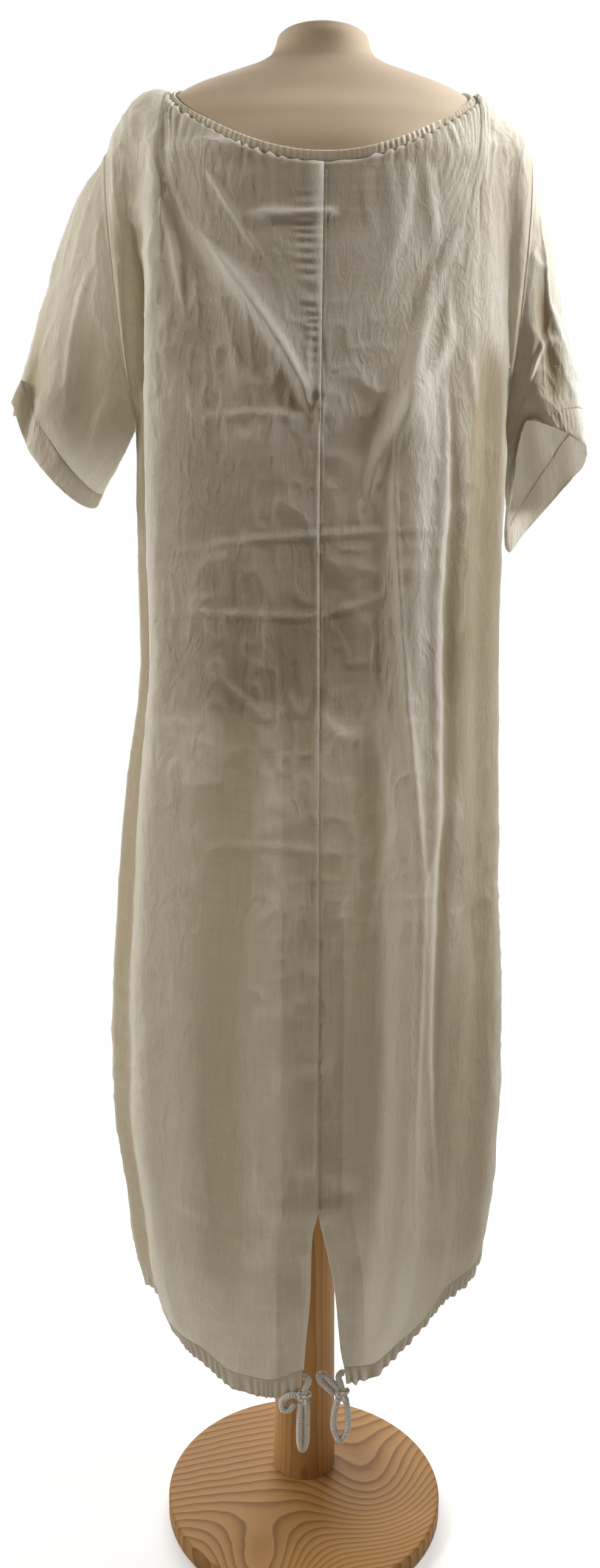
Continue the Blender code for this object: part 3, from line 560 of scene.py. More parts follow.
@dataclass(frozen=True)
class LinenFinish:
    """Washed off-white linen: crossed slubby threads, crinkles, and light that comes through."""

    name: str = "Linen"
    light: tuple = rgb(0.92, 0.90, 0.83)
    dark: tuple = rgb(0.49, 0.42, 0.29)
    through: tuple = rgb(0.87, 0.85, 0.78)
    share_through: float = 0.56
    sheer: float = 0.10
    crinkle: float = 0.0008
    weave: float = 0.00012

    def make(self, effects: Effects) -> bpy.types.Material:
        """Builds the material. Its colour carries painted light in two places. One mark darkens doubled
        cloth as painted shade, for the light that comes through it less. The other lightens the crests of
        the folds and the lapped edge of the centre seam as painted highlights, and darkens the hollows as
        painted shade."""
        material = bpy.data.materials.new(self.name)
        material.use_nodes = True
        net = Net(material.node_tree)
        surface = material.node_tree.nodes["Principled BSDF"]
        cloth = net.add("ShaderNodeUVMap")
        cloth.uv_map = "Cloth"
        place = net.add("ShaderNodeTexCoord").outputs["Object"]
        weave = net.group(effects.weave, Vector=cloth.outputs[0], Threads=620.0, Slub=0.9)
        hung = net.add("ShaderNodeMapping", Vector=place, Scale=(1.0, 1.0, 0.45))
        crinkle = net.group(effects.crinkle, Vector=hung.outputs[0], Scale=46.0, Fine=0.35)
        layers, painted_highlight_and_shade = (net.tree.nodes.new("ShaderNodeAttribute") for _ in range(2))
        layers.attribute_name, painted_highlight_and_shade.attribute_name = "layers", "painted_highlight_and_shade"
        yarn = net.math("MULTIPLY", weave.outputs["Yarn"], 0.55)
        tone = net.math("ADD", yarn, net.math("MULTIPLY", crinkle.outputs["Blotch"], 0.45))
        # Painted highlight on fold crests and on the seam's lapped edge, painted shade in the hollows.
        tone = net.math("ADD", tone, net.math("MULTIPLY", painted_highlight_and_shade.outputs["Fac"], 0.60))
        # Painted shade: doubled cloth is made darker.
        tone = net.math("SUBTRACT", tone, net.math("MULTIPLY", layers.outputs["Fac"], 0.12), clamp=True)
        colour = net.mix(tone, self.dark, self.light)
        net.put(surface.inputs["Base Color"], colour)
        surface.inputs["Roughness"].default_value = 0.88
        surface.inputs["Specular IOR Level"].default_value = 0.25
        surface.inputs["Sheen Weight"].default_value = 0.12
        surface.inputs["Sheen Roughness"].default_value = 0.5
        bumps = net.add("ShaderNodeBump", Strength=1.0, Distance=self.crinkle,
                        Height=crinkle.outputs["Height"])
        threads = net.add("ShaderNodeBump", Strength=0.8, Distance=self.weave,
                          Height=weave.outputs["Height"], Normal=bumps.outputs[0])
        net.put(surface.inputs["Normal"], threads.outputs[0])
        behind = net.add("ShaderNodeBsdfTranslucent", Color=self.through, Normal=threads.outputs[0])
        both = net.add("ShaderNodeMixShader", Fac=self.share_through)
        net.put(both.inputs[1], surface.outputs[0])
        net.put(both.inputs[2], behind.outputs[0])
        holes = net.add("ShaderNodeBsdfTransparent")
        last = net.add("ShaderNodeMixShader", Fac=self.sheer)
        net.put(last.inputs[1], both.outputs[0])
        net.put(last.inputs[2], holes.outputs[0])
        net.put(material.node_tree.nodes["Material Output"].inputs["Surface"], last.outputs[0])
        return material


@dataclass(frozen=True)
class CordFinish:
    """Soft plaited cotton cord: two crossed sets of slanting strands."""

    light: tuple = rgb(0.97, 0.95, 0.88)
    dark: tuple = rgb(0.74, 0.70, 0.60)

    def make(self) -> bpy.types.Material:
        """Builds the material from the cord's UV map, whose V runs along it in metres."""
        material = bpy.data.materials.new("Plaited cord")
        material.use_nodes = True
        net = Net(material.node_tree)
        surface = material.node_tree.nodes["Principled BSDF"]
        route = net.add("ShaderNodeUVMap")
        route.uv_map = "Cloth"
        apart = net.add("ShaderNodeSeparateXYZ", Vector=route.outputs[0])
        around = net.math("MULTIPLY", apart.outputs["X"], math.tau * 4)
        along = net.math("MULTIPLY", apart.outputs["Y"], math.tau * 420)
        one = net.math("SINE", net.math("ADD", along, around))
        two = net.math("SINE", net.math("SUBTRACT", along, around))
        plait = net.math("MAXIMUM", one, two)
        # The plait pattern is real. Its colour is lighter on the strands' crests and darker in the grooves
        # between them: painted highlight and painted shade.
        crest = net.math("ADD", net.math("MULTIPLY", plait, 0.5), 0.5, clamp=True)
        net.put(surface.inputs["Base Color"], net.mix(crest, self.dark, self.light))
        surface.inputs["Roughness"].default_value = 0.9
        surface.inputs["Sheen Weight"].default_value = 0.15
        bump = net.add("ShaderNodeBump", Strength=1.0, Distance=0.0006, Height=plait)
        net.put(surface.inputs["Normal"], bump.outputs[0])
        return material


@dataclass(frozen=True)
class JerseyFinish:
    """Fine cream jersey drawn over the form: upright ribs of tiny stitches."""

    light: tuple = rgb(0.465, 0.376, 0.265)
    dark: tuple = rgb(0.38, 0.278, 0.172)

    def make(self, effects: Effects) -> bpy.types.Material:
        """Builds the material."""
        material = bpy.data.materials.new("Cream jersey")
        material.use_nodes = True
        net = Net(material.node_tree)
        surface = material.node_tree.nodes["Principled BSDF"]
        knit = net.add("ShaderNodeUVMap")
        knit.uv_map = "Cloth"
        ribs = net.group(effects.weave, Vector=knit.outputs[0], Threads=700.0, Slub=0.15)
        place = net.add("ShaderNodeTexCoord").outputs["Object"]
        blotch = net.add("ShaderNodeTexNoise", Vector=place, Scale=9.0, Detail=2.0)
        net.put(surface.inputs["Base Color"], net.mix(blotch.outputs["Fac"], self.dark, self.light))
        surface.inputs["Roughness"].default_value = 0.8
        surface.inputs["Sheen Weight"].default_value = 0.25
        bump = net.add("ShaderNodeBump", Strength=0.6, Distance=0.00015, Height=ribs.outputs["Height"])
        net.put(surface.inputs["Normal"], bump.outputs[0])
        return material


@dataclass(frozen=True)
class PineFinish:
    """Varnished pine with dark late-wood lines."""

    name: str
    turn: tuple[float, float, float] = (0.0, 0.0, 0.0)
    rings: float = 60.0
    swirl: float = 4.0
    swirl_scale: float = 4.5
    hills: tuple[tuple[float, float, float, float, float], ...] = ()
    early: tuple = rgb(0.345, 0.188, 0.062)
    middle: tuple = rgb(0.275, 0.138, 0.041)
    late: tuple = rgb(0.130, 0.056, 0.017)

    def make(self, effects: Effects) -> bpy.types.Material:
        """Builds the material. The grain runs along local X once it is turned."""
        material = bpy.data.materials.new(self.name)
        material.use_nodes = True
        net = Net(material.node_tree)
        surface = material.node_tree.nodes["Principled BSDF"]
        place = net.add("ShaderNodeTexCoord").outputs["Object"]
        turned = net.add("ShaderNodeMapping", Vector=place, Rotation=self.turn)
        rise: bpy.types.NodeSocket | float = 0.0
        for x, y, across, deep, height in self.hills:
            moved = net.add("ShaderNodeMapping", Vector=place, Location=(-x / across, -y / deep, 0.0),
                            Scale=(1 / across, 1 / deep, 0.0))
            far = net.add("ShaderNodeVectorMath")
            far.operation = "LENGTH"
            net.put(far.inputs[0], moved.outputs[0])
            square = net.math("MULTIPLY", net.math("POWER", far.outputs["Value"], 2.0), -1.0)
            rise = net.math("ADD", rise, net.math("MULTIPLY", net.math("EXPONENT", square), height))
        grain = net.group(effects.grain, Vector=turned.outputs[0], Rings=self.rings, Swirl=self.swirl,
                          Swirl_scale=self.swirl_scale, Hills=rise)
        ramp = net.add("ShaderNodeValToRGB", Fac=grain.outputs["Ring"])
        ramp.color_ramp.elements[0].color = self.early
        ramp.color_ramp.elements[1].position = 1.0
        ramp.color_ramp.elements[1].color = self.early
        for position, colour in ((0.55, self.middle), (0.86, self.late), (0.93, self.late)):
            ramp.color_ramp.elements.new(position).color = colour
        thin = net.mix(grain.outputs["Fibre"], self.middle, self.early)
        net.put(surface.inputs["Base Color"], net.mix(0.35, ramp.outputs["Color"], thin))
        dull = net.math("ADD", net.math("MULTIPLY", grain.outputs["Ring"], 0.12), 0.46)
        net.put(surface.inputs["Roughness"], dull)
        surface.inputs["Specular IOR Level"].default_value = 0.12
        bump = net.add("ShaderNodeBump", Strength=0.5, Distance=0.0003, Height=grain.outputs["Fibre"])
        net.put(surface.inputs["Normal"], bump.outputs[0])
        return material


# Dress form


@dataclass
class DressForm:
    """The limbless torso with its short neck, drawn from levels of superellipse rings."""

    rows: tuple[Girth, ...] = (
        Girth(0.945, 0.154, 0.100, 0.095, 2.3),
        Girth(0.985, 0.163, 0.108, 0.101, 2.3),
        Girth(1.045, 0.158, 0.103, 0.098, 2.3),
        Girth(1.125, 0.141, 0.086, 0.093, 2.2),
        Girth(1.205, 0.146, 0.090, 0.112, 2.2),
        Girth(1.285, 0.156, 0.099, 0.132, 2.3),
        Girth(1.365, 0.164, 0.105, 0.124, 2.4),
        Girth(1.440, 0.173, 0.107, 0.105, 2.5),
        Girth(1.500, 0.183, 0.103, 0.091, 2.5),
        Girth(1.545, 0.182, 0.086, 0.075, 2.2),
        Girth(1.571, 0.170, 0.071, 0.064, 2.1),
        Girth(1.589, 0.1455, 0.062, 0.058, 2.0),
        Girth(1.601, 0.111, 0.056, 0.054, 2.0),
        Girth(1.611, 0.077, 0.052, 0.051, 2.0),
        Girth(1.622, 0.057, 0.050, 0.050, 2.0),
        Girth(1.634, 0.050, 0.049, 0.049, 2.0),
        Girth(1.641, 0.048, 0.047, 0.047, 2.0),
    )
    neck_top: float = 1.6465
    columns: int = 160
    levels: int = 150
    neck_side: float = 0.1440
    neck_back_height: float = 1.499
    neck_front_height: float = 1.468
    neck_curve: float = 1.65

    def point(self, height: Array, angle: Array) -> Array:
        """Point of the surface: half widths times the signed powers of cosine and sine. Angle 0 is
        at +X, and a quarter turn is the middle of the back."""
        power = 2 / eased(self.rows, "height", "squareness", height)
        c, s = np.cos(angle), np.sin(angle)
        back, front = (eased(self.rows, "height", f, height) for f in ("back", "front"))
        x = eased(self.rows, "height", "half_width", height) * np.sign(c) * np.abs(c) ** power
        y = -np.where(s >= 0, back, front) * np.sign(s) * np.abs(s) ** power
        return np.stack(np.broadcast_arrays(x, y, height), axis=-1)

    def normal(self, height: Array, angle: Array) -> Array:
        """Outward normal, from the surface's two tangents."""
        h, a = 0.0015, 0.01
        up = self.point(height + h, angle) - self.point(height - h, angle)
        around = self.point(height, angle + a) - self.point(height, angle - a)
        return unit(np.cross(up, around))

    def measure(self, points: Array) -> Array:
        """The superellipse's own distance: below 0 inside, 0 on the surface, above 0 outside."""
        x, y, z = points[..., 0], points[..., 1], points[..., 2]
        width = eased(self.rows, "height", "half_width", z)
        back, front = (eased(self.rows, "height", f, z) for f in ("back", "front"))
        depth = np.where(y < 0, back, front)
        power = eased(self.rows, "height", "squareness", z)
        return (np.abs(x / width) ** power + np.abs(y / depth) ** power) ** (1 / power) - 1

    def cleared(self, points: Array, clearance: float, softness: float) -> Array:
        """The points, moved out along the measure's slope until they are clear of the form."""
        h = 0.0005
        for _ in range(3):
            steps = [self.measure(points + h * e) - self.measure(points - h * e) for e in np.eye(3)]
            slope = np.stack(steps, -1) / (2 * h)
            steep = np.linalg.norm(slope, axis=-1, keepdims=True)
            short = clearance - self.measure(points)[..., None] / steep
            points = points + slope / steep * 0.5 * (short + np.hypot(short, softness))
            softness = 0.0
        return points

    def neckline(self, side: Side, turn: Array, width: Array) -> tuple[Array, Array]:
        """Point and normal on the form, so far below the neck edge. Its height runs from the
        middle's to the shoulder's as |cos(turn)| to a power, for turn from 0 to pi."""
        heights = np.linspace(1.560, self.neck_top - 0.01, 200)
        widths = eased(self.rows, "height", "half_width", heights)
        shoulder = np.interp(-(self.neck_side + np.asarray(width, float)), -widths, heights)
        middle = (self.neck_back_height if side is Side.BACK else self.neck_front_height) - width
        height = middle + (shoulder - middle) * np.abs(np.cos(turn)) ** self.neck_curve
        angle = turn if side is Side.BACK else -turn
        return self.point(height, angle), self.normal(height, angle)

    def build(self, jersey: bpy.types.Material) -> None:
        """Makes the torso: rings up to the neck, a rounded rim and a low dome, and a closed hip end."""
        low, high = self.rows[0].height, self.rows[-1].height
        angles = np.arange(self.columns) * math.tau / self.columns
        heights = low + (high - low) * (1 - (1 - np.linspace(0, 1, self.levels)) ** 1.35)
        rings = self.point(heights[:, None], angles[None, :])
        roll = np.linspace(0, math.pi / 2, 8)[1:, None, None]
        axis = np.array([1.0, 1.0, 0.0])
        inner = rings[0] * np.where(axis > 0, np.linspace(0.94, 0.05, 10)[:, None, None], 1.0)
        dome = rings[-1] * np.where(axis > 0, np.cos(roll) ** 0.35 * 0.999 + 0.001, 1.0)
        dome[..., 2] = high + (self.neck_top - high) * np.sin(roll[..., 0]) ** 0.8
        rings = np.concatenate([inner[::-1], rings, dome])
        around = np.arange(self.columns) / self.columns
        uv = np.stack(np.broadcast_arrays(around[None, :], rings[:, :1, 2]), -1)
        torso = tube("torso_jersey", rings, jersey, uv)
        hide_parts("torso")


# Wooden foot


@dataclass
class WoodenFoot:
    """The round base board and the tapered pole that stands on it."""

    radius: float = 0.160
    height: float = 0.022
    ease: float = 0.003
    behind_pole: float = 0.045
    pole_gap: float = 0.0003
    pole_foot: float = 0.0375
    pole_top: float = 0.0240
    pole_end: float = 0.9447

    def _turned(self, name: str, profile: Array, segments: int, centre: tuple[float, float],
                wood: bpy.types.Material) -> bpy.types.Object:
        """A solid of revolution of (radius, height) pairs round an upright axis."""
        angle = np.arange(segments) * math.tau / segments
        x = centre[0] + profile[:, None, 0] * np.cos(angle)
        y = centre[1] + profile[:, None, 0] * np.sin(angle)
        z = np.broadcast_to(profile[:, None, 1], x.shape)
        piece = tube(name, np.stack([x, y, z], -1), wood)
        piece.data.set_sharp_from_angle(angle=math.radians(40))
        return piece

    def build(self, board: bpy.types.Material, stick: bpy.types.Material) -> None:
        """Makes both pieces. Each edge of the board is rounded by a quarter circle."""
        r, h, e = self.radius, self.height, self.ease
        turn = np.linspace(0, math.pi / 2, 7)
        low = np.stack([r - e + e * np.sin(turn), e - e * np.cos(turn)], -1)
        high = np.stack([r - e + e * np.cos(turn), h - e + e * np.sin(turn)], -1)
        flat = np.linspace(0.02, 0.97, 8)[:, None] * np.array([[r - e, 0.0]])
        over = flat[::-1] + [0.0, h]
        outline = np.concatenate([flat, low, high, over])
        disc = self._turned("base_board", outline, 200, (0, -self.behind_pole), board)
        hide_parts("base_disc")
        rise = np.linspace(0, 1, 60)[:, None]
        foot = h + self.pole_gap
        start = np.array([[self.pole_foot, foot]])
        side = start + rise * (np.array([[self.pole_top, self.pole_end]]) - start)
        ends = np.array([0.05, 0.6, 0.96])
        bottom = np.stack([ends * self.pole_foot, np.full(3, foot)], -1)
        top = np.stack([ends[::-1] * self.pole_top, np.full(3, self.pole_end)], -1)
        rod = self._turned("pole_wood", np.concatenate([bottom, side, top]), 96, (0, 0), stick)
        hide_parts("pole")


# Body of the dress


@dataclass
class Body:
    """The body panels: their levels, hem, vent, neckline, shoulders and folds."""

    form: DressForm
    sections: tuple[Section, ...] = (
        Section(0.150, 0.161, 0.152, 0.096, 0.099, 2.4),
        Section(0.190, 0.167, 0.160, 0.101, 0.104, 2.4),
        Section(0.230, 0.176, 0.171, 0.108, 0.111, 2.4),
        Section(0.265, 0.190, 0.189, 0.114, 0.117, 2.5),
        Section(0.300, 0.201, 0.203, 0.118, 0.121, 2.5),
        Section(0.380, 0.212, 0.215, 0.124, 0.127, 2.6),
        Section(0.500, 0.226, 0.220, 0.128, 0.132, 2.7),
        Section(0.620, 0.225, 0.218, 0.129, 0.134, 2.8),
        Section(0.740, 0.219, 0.210, 0.127, 0.135, 2.9),
        Section(0.860, 0.209, 0.207, 0.123, 0.137, 3.0),
        Section(1.000, 0.192, 0.203, 0.119, 0.142, 3.1),
        Section(1.130, 0.195, 0.200, 0.118, 0.146, 3.2),
        Section(1.255, 0.197, 0.199, 0.119, 0.146, 3.2),
    )
    hem: tuple[HemPoint, ...] = (
        HemPoint(-1.00, 0.283, 0.283),
        HemPoint(-0.80, 0.259, 0.256),
        HemPoint(-0.62, 0.220, 0.226),
        HemPoint(-0.50, 0.196, 0.208),
        HemPoint(-0.38, 0.176, 0.195),
        HemPoint(-0.18, 0.170, 0.186),
        HemPoint(0.00, 0.187, 0.184),
        HemPoint(0.18, 0.189, 0.186),
        HemPoint(0.34, 0.194, 0.195),
        HemPoint(0.46, 0.218, 0.208),
        HemPoint(0.62, 0.258, 0.232),
        HemPoint(0.82, 0.292, 0.272),
        HemPoint(1.00, 0.304, 0.304),
    )
    vent: tuple[VentRow, ...] = (
        VentRow(0.150, -0.0065, 0.0470),
        VentRow(0.185, -0.0045, 0.0440),
        VentRow(0.230, -0.0025, 0.0362),
        VentRow(0.302, 0.0020, 0.0297),
        VentRow(0.350, 0.0025, 0.0209),
        VentRow(0.372, 0.0035, 0.0160),
        VentRow(0.404, 0.0095, 0.0100),
        VentRow(0.460, 0.0090, 0.0090),
        VentRow(0.610, 0.0072, 0.0072),
        VentRow(0.800, 0.0045, 0.0045),
        VentRow(1.000, 0.0023, 0.0023),
        VentRow(1.200, 0.0000, 0.0000),
        VentRow(1.700, 0.0000, 0.0000),
    )
    shoulder: tuple[ShoulderPoint, ...] = (
        ShoulderPoint(0.25, 0.1735, 1.5915, 0.1660, 1.5840),
        ShoulderPoint(0.50, 0.1970, 1.5780, 0.1875, 1.5680),
        ShoulderPoint(0.75, 0.2120, 1.5560, 0.2055, 1.5560),
        ShoulderPoint(1.00, 0.2255, 1.5280, 0.2190, 1.5300),
    )
    back_folds: tuple[Fold, ...] = (
        Fold(-0.640, -0.600, 1.56, 0.20, 0.065, 0.0070),
        Fold(-0.800, -0.790, 1.42, 0.22, 0.080, -0.0150),
        Fold(0.350, 0.330, 1.30, 0.22, 0.075, 0.0105),
        Fold(0.690, 0.650, 1.30, 0.22, 0.085, -0.0120),
        Fold(-0.420, 0.030, 1.46, 1.25, 0.060, 0.0045),
        Fold(0.420, 0.260, 1.46, 1.16, 0.060, 0.0040),
        Fold(-0.300, -0.340, 0.98, 0.30, 0.090, -0.0050),
        Fold(0.230, 0.260, 0.92, 0.36, 0.090, -0.0045),
    )
    front_folds: tuple[Fold, ...] = (
        Fold(-0.660, -0.620, 1.54, 0.22, 0.075, 0.0070),
        Fold(-0.820, -0.800, 1.40, 0.24, 0.080, -0.0130),
        Fold(0.640, 0.600, 1.54, 0.22, 0.075, 0.0070),
        Fold(0.810, 0.780, 1.40, 0.24, 0.080, -0.0130),
        Fold(-0.300, -0.220, 1.22, 0.24, 0.090, -0.0060),
        Fold(0.300, 0.240, 1.22, 0.24, 0.090, -0.0060),
        Fold(0.000, 0.020, 1.12, 0.22, 0.085, 0.0050),
    )
    back_creases: tuple[Crease, ...] = (
        Crease(((-0.117, 1.488), (-0.100, 1.462), (-0.076, 1.424), (-0.040, 1.368)), 0.0030, 0.0026),
        Crease(((-0.125, 1.437), (-0.088, 1.384), (-0.046, 1.322), (-0.021, 1.282), (-0.013, 1.259),
                (-0.009, 1.246)), 0.0062, 0.0072),
        Crease(((-0.158, 1.460), (-0.154, 1.445), (-0.141, 1.384), (-0.132, 1.327)), 0.0040, 0.0036),
        Crease(((-0.078, 1.4385), (-0.040, 1.436), (0.007, 1.438), (0.016, 1.438)), 0.0060, 0.0045),
        Crease(((-0.170, 1.512), (-0.110, 1.508), (-0.040, 1.500)), 0.0060, 0.0026),
        Crease(((0.064, 1.497), (0.071, 1.448), (0.067, 1.392)), 0.0060, 0.0022),
        Crease(((0.082, 1.499), (0.082, 1.448), (0.062, 1.369)), 0.0060, 0.0026),
        Crease(((0.099, 1.505), (0.108, 1.448), (0.114, 1.398)), 0.0060, 0.0024),
        Crease(((0.041, 1.494), (0.045, 1.448), (0.054, 1.408)), 0.0050, 0.0015),
        Crease(((0.127, 1.387), (0.125, 1.318), (0.099, 1.272), (0.070, 1.225), (0.053, 1.183),
                (0.049, 1.159)), 0.0085, 0.0050),
        Crease(((0.112, 1.400), (0.098, 1.320), (0.084, 1.250), (0.070, 1.190)), 0.0070, 0.0030),
        Crease(((0.146, 1.318), (0.159, 1.272), (0.167, 1.237)), 0.0050, 0.0022),
        Crease(((0.078, 1.271), (0.076, 1.177), (0.081, 1.088), (0.092, 0.965), (0.111, 0.806),
                (0.114, 0.676), (0.113, 0.472), (0.122, 0.367)), 0.0040, 0.0034),
        Crease(((0.125, 1.318), (0.133, 1.178), (0.129, 1.058), (0.133, 0.871), (0.129, 0.742),
                (0.132, 0.541), (0.149, 0.367)), 0.0100, 0.0070, Profile.STEP),
        Crease(((-0.166, 1.112), (-0.074, 1.123), (-0.001, 1.129), (0.109, 1.135), (0.170, 1.130)),
               0.0034, 0.0018),
        Crease(((-0.170, 1.051), (-0.074, 1.049), (0.000, 1.049), (0.061, 1.066), (0.123, 1.082)),
               0.0034, 0.0016),
        Crease(((-0.135, 1.240), (-0.063, 1.247), (-0.003, 1.241)), 0.0036, 0.0014),
        Crease(((-0.149, 0.803), (-0.060, 0.811), (0.029, 0.805), (0.079, 0.813)), 0.0036, 0.0014),
        Crease(((-0.072, 0.667), (-0.053, 0.654), (-0.033, 0.637)), 0.0035, 0.0014),
        Crease(((-0.170, 0.427), (-0.104, 0.385), (-0.037, 0.347)), 0.0050, 0.0018),
        Crease(((-0.124, 0.483), (-0.110, 0.406), (-0.117, 0.371)), 0.0040, 0.0012),
        Crease(((-0.100, 0.985), (-0.074, 0.963), (-0.049, 0.944), (-0.020, 0.957)), 0.0045, 0.0020),
        Crease(((0.005, 0.955), (0.030, 0.925), (0.064, 0.933)), 0.0060, 0.0020),
        Crease(((-0.030, 0.975), (-0.016, 0.950), (-0.004, 0.972)), 0.0045, 0.0018),
        Crease(((-0.036, 1.315), (-0.040, 1.290), (-0.050, 1.268)), 0.0050, 0.0020),
        Crease(((-0.158, 1.560), (-0.150, 1.500), (-0.163, 1.380)), 0.0060, 0.0020),
    )
    neck_share: float = 0.56
    back_break: float = 9 / 15
    front_break: float = 7 / 12
    chest: float = 1.255
    hem_low: float = 0.176
    casing: float = 0.024
    armhole_depth: float = 0.062
    band_width: float = 0.0105
    band_gap: float = 0.0006
    seam_gap: float = 0.0003
    lap: float = 0.0016
    solid_wall: float = 0.0015
    rest_gap: float = 0.0011
    yoke_ease: float = 0.0030
    cloth: float = 0.0007
    low_rows: int = 286
    yoke_rows: int = 104
    tables: dict = field(default_factory=dict)

    def __post_init__(self) -> None:
        """Lays out each quarter of the tube by equal shares of its arc, for a grid of heights."""
        self.levels = np.linspace(self.sections[0].height, self.chest, 240)
        angle = np.linspace(0, math.pi / 2, 241)
        power = 2 / eased(self.sections, "height", "squareness", self.levels)[:, None]
        shares = np.linspace(0, 1, 161)
        for side, depth in ((Side.BACK, "back"), (Side.FRONT, "front")):
            for wearer in ("left", "right"):
                width = eased(self.sections, "height", wearer, self.levels)[:, None]
                across = width * np.sin(angle) ** power
                depths = eased(self.sections, "height", depth, self.levels)[:, None]
                out = depths * np.abs(np.cos(angle)) ** power
                steps = np.hypot(np.diff(across, axis=1), np.diff(out, axis=1))
                along = np.concatenate([np.zeros((len(steps), 1)), np.cumsum(steps, axis=1)], axis=1)
                even = [(np.interp(shares * a[-1], a, x), np.interp(shares * a[-1], a, y))
                        for a, x, y in zip(along, across, out)]
                self.tables[side, wearer] = (*np.moveaxis(np.array(even), 1, 0), along[:, -1])

    def _read(self, table: Array, height: Array, share: Array) -> Array:
        """Bilinear reading of a table of levels by shares."""
        step = self.levels[1] - self.levels[0]
        i = np.clip((height - self.levels[0]) / step, 0, len(self.levels) - 1.001)
        j = np.clip(share * 160, 0, 159.999)
        a, b = i.astype(int), j.astype(int)
        u, v = i - a, j - b
        low = table[a, b] * (1 - v) + table[a, b + 1] * v
        return low * (1 - u) + (table[a + 1, b] * (1 - v) + table[a + 1, b + 1] * v) * u

    def half_girth(self, side: Side, right: Array, height: Array) -> Array:
        """Cloth from the middle of a panel to its side seam, in metres."""
        pair = [np.interp(height, self.levels, self.tables[side, wearer][2]) for wearer in ("left", "right")]
        return np.where(right, pair[1], pair[0])

    def tube_point(self, side: Side, place: Array, height: Array) -> Array:
        """Point of the dress below the armholes: a superellipse, shared out by its arc."""
        share = np.abs(place)
        left, right = self.tables[side, "left"], self.tables[side, "right"]
        across = np.where(place < 0, -self._read(left[0], height, share),
                          self._read(right[0], height, share))
        out = np.where(place < 0, self._read(left[1], height, share), self._read(right[1], height, share))
        return np.stack([across, side.value * out, height], -1)

    def places(self, side: Side, part: Part, column: Array, height: Array) -> Array:
        """Place from -1 to 1 of a column from 0 to 1 of a panel, at a nominal height."""
        gap = self.seam_gap / 2
        left = -self.half_girth(side, np.False_, height) + gap
        right = self.half_girth(side, np.True_, height) - gap
        if part is Part.LEFT:
            right = eased(self.vent, "height", "left_edge", height) - gap
        if part is Part.RIGHT:
            left = eased(self.vent, "height", "right_edge", height) + gap
        low = left / self.half_girth(side, left > 0, height)
        high = right / self.half_girth(side, right > 0, height)
        return low + (high - low) * column

    def hem_height(self, side: Side, place: Array) -> Array:
        """Height of the hem at a place across a panel."""
        return eased(self.hem, "place", "back" if side is Side.BACK else "front", place)

    def low_points(self, side: Side, part: Part, row: Array, column: Array) -> tuple[Array, Array]:
        """Points and places below the chest line, for row 0 at the hem to 1 at the chest."""
        nominal = self.hem_low + (self.chest - self.hem_low) * row
        place = self.places(side, part, column, nominal)
        hem = self.hem_height(side, place)
        return self.tube_point(side, place, hem + (self.chest - hem) * row), place

    def top_edge(self, side: Side, sign: Array, share: Array) -> Array:
        """Where each column ends: on the neckline, or on the shoulder seam."""
        turn = math.pi / 2 * (1 - np.minimum(share / self.neck_share, 1))
        point, normal = self.form.neckline(side, turn, self.band_width + self.band_gap)
        point = point + normal * (self.solid_wall + self.rest_gap)
        x = sign * point[..., 0]
        y = side.value * np.maximum(np.abs(point[..., 1]), self.seam_gap / 2)
        neck = np.stack([x, y, point[..., 2]], -1)
        start, out = self.form.neckline(Side.BACK, np.array(0.0), self.band_width + self.band_gap)
        across, _, height = (start + out * (self.solid_wall + self.rest_gap)).tolist()
        table = (ShoulderPoint(0.0, across, height, across, height), *self.shoulder)
        along = (share - self.neck_share) / (1 - self.neck_share)
        left = eased(table, "share", "left", along), eased(table, "share", "left_height", along)
        right = eased(table, "share", "right", along), eased(table, "share", "right_height", along)
        seam = np.stack([
            sign * np.where(sign < 0, left[0], right[0]),
            np.full(share.shape, side.value * self.seam_gap / 2),
            np.where(sign < 0, left[1], right[1]),
        ], -1)
        return np.where((share <= self.neck_share)[..., None], neck, seam)

    def yoke_points(self, side: Side, place: Array, sign: Array, share: Array, rise: Array) -> Array:
        """Points above the chest line: a cubic curve up to the top edge, upright in the middle,
        arriving from behind over the shoulder, and half of the armhole's ellipse at the side."""
        foot = self.tube_point(side, place, np.full(place.shape, self.chest))
        head = self.top_edge(side, sign, share)
        to_side = smoothstep(0.72, 1.0, share)[..., None]
        to_shoulder = smoothstep(0.25, self.neck_share + 0.06, share)[..., None]
        full = 4 / 3 * self.armhole_depth * side.value
        low = np.array([0.0, full, 0.0]) * to_side + np.array([0.0, 0.0, 0.120]) * (1 - to_side)
        upright = np.array([0.0, side.value * 0.012, -0.090])
        over = np.array([0.0, side.value * 0.078, -0.006])
        high = upright * (1 - to_shoulder) + over * to_shoulder
        high = high * (1 - to_side) + np.array([0.0, full, 0.0]) * to_side
        return bezier(foot[None], (foot + low)[None], (head + high)[None], head[None], rise[:, None])

    @staticmethod
    def fold_rise(folds: tuple, place: Array, height: Array) -> Array:
        """Sum of the hanging folds: a bell across each, from its top to its foot."""
        total = np.zeros(np.broadcast(place, height).shape)
        for fold in folds:
            down = np.clip((fold.top - height) / (fold.top - fold.low), 0.0, 1.0)
            middle = fold.top_place + (fold.low_place - fold.top_place) * down
            ends = smoothstep(fold.low - 0.06, fold.low + 0.10, height)
            ends = ends * (1 - smoothstep(fold.top - 0.05, fold.top + 0.04, height))
            total = total + fold.rise * ends * np.exp(-(((place - middle) / fold.width) ** 2))
        return total

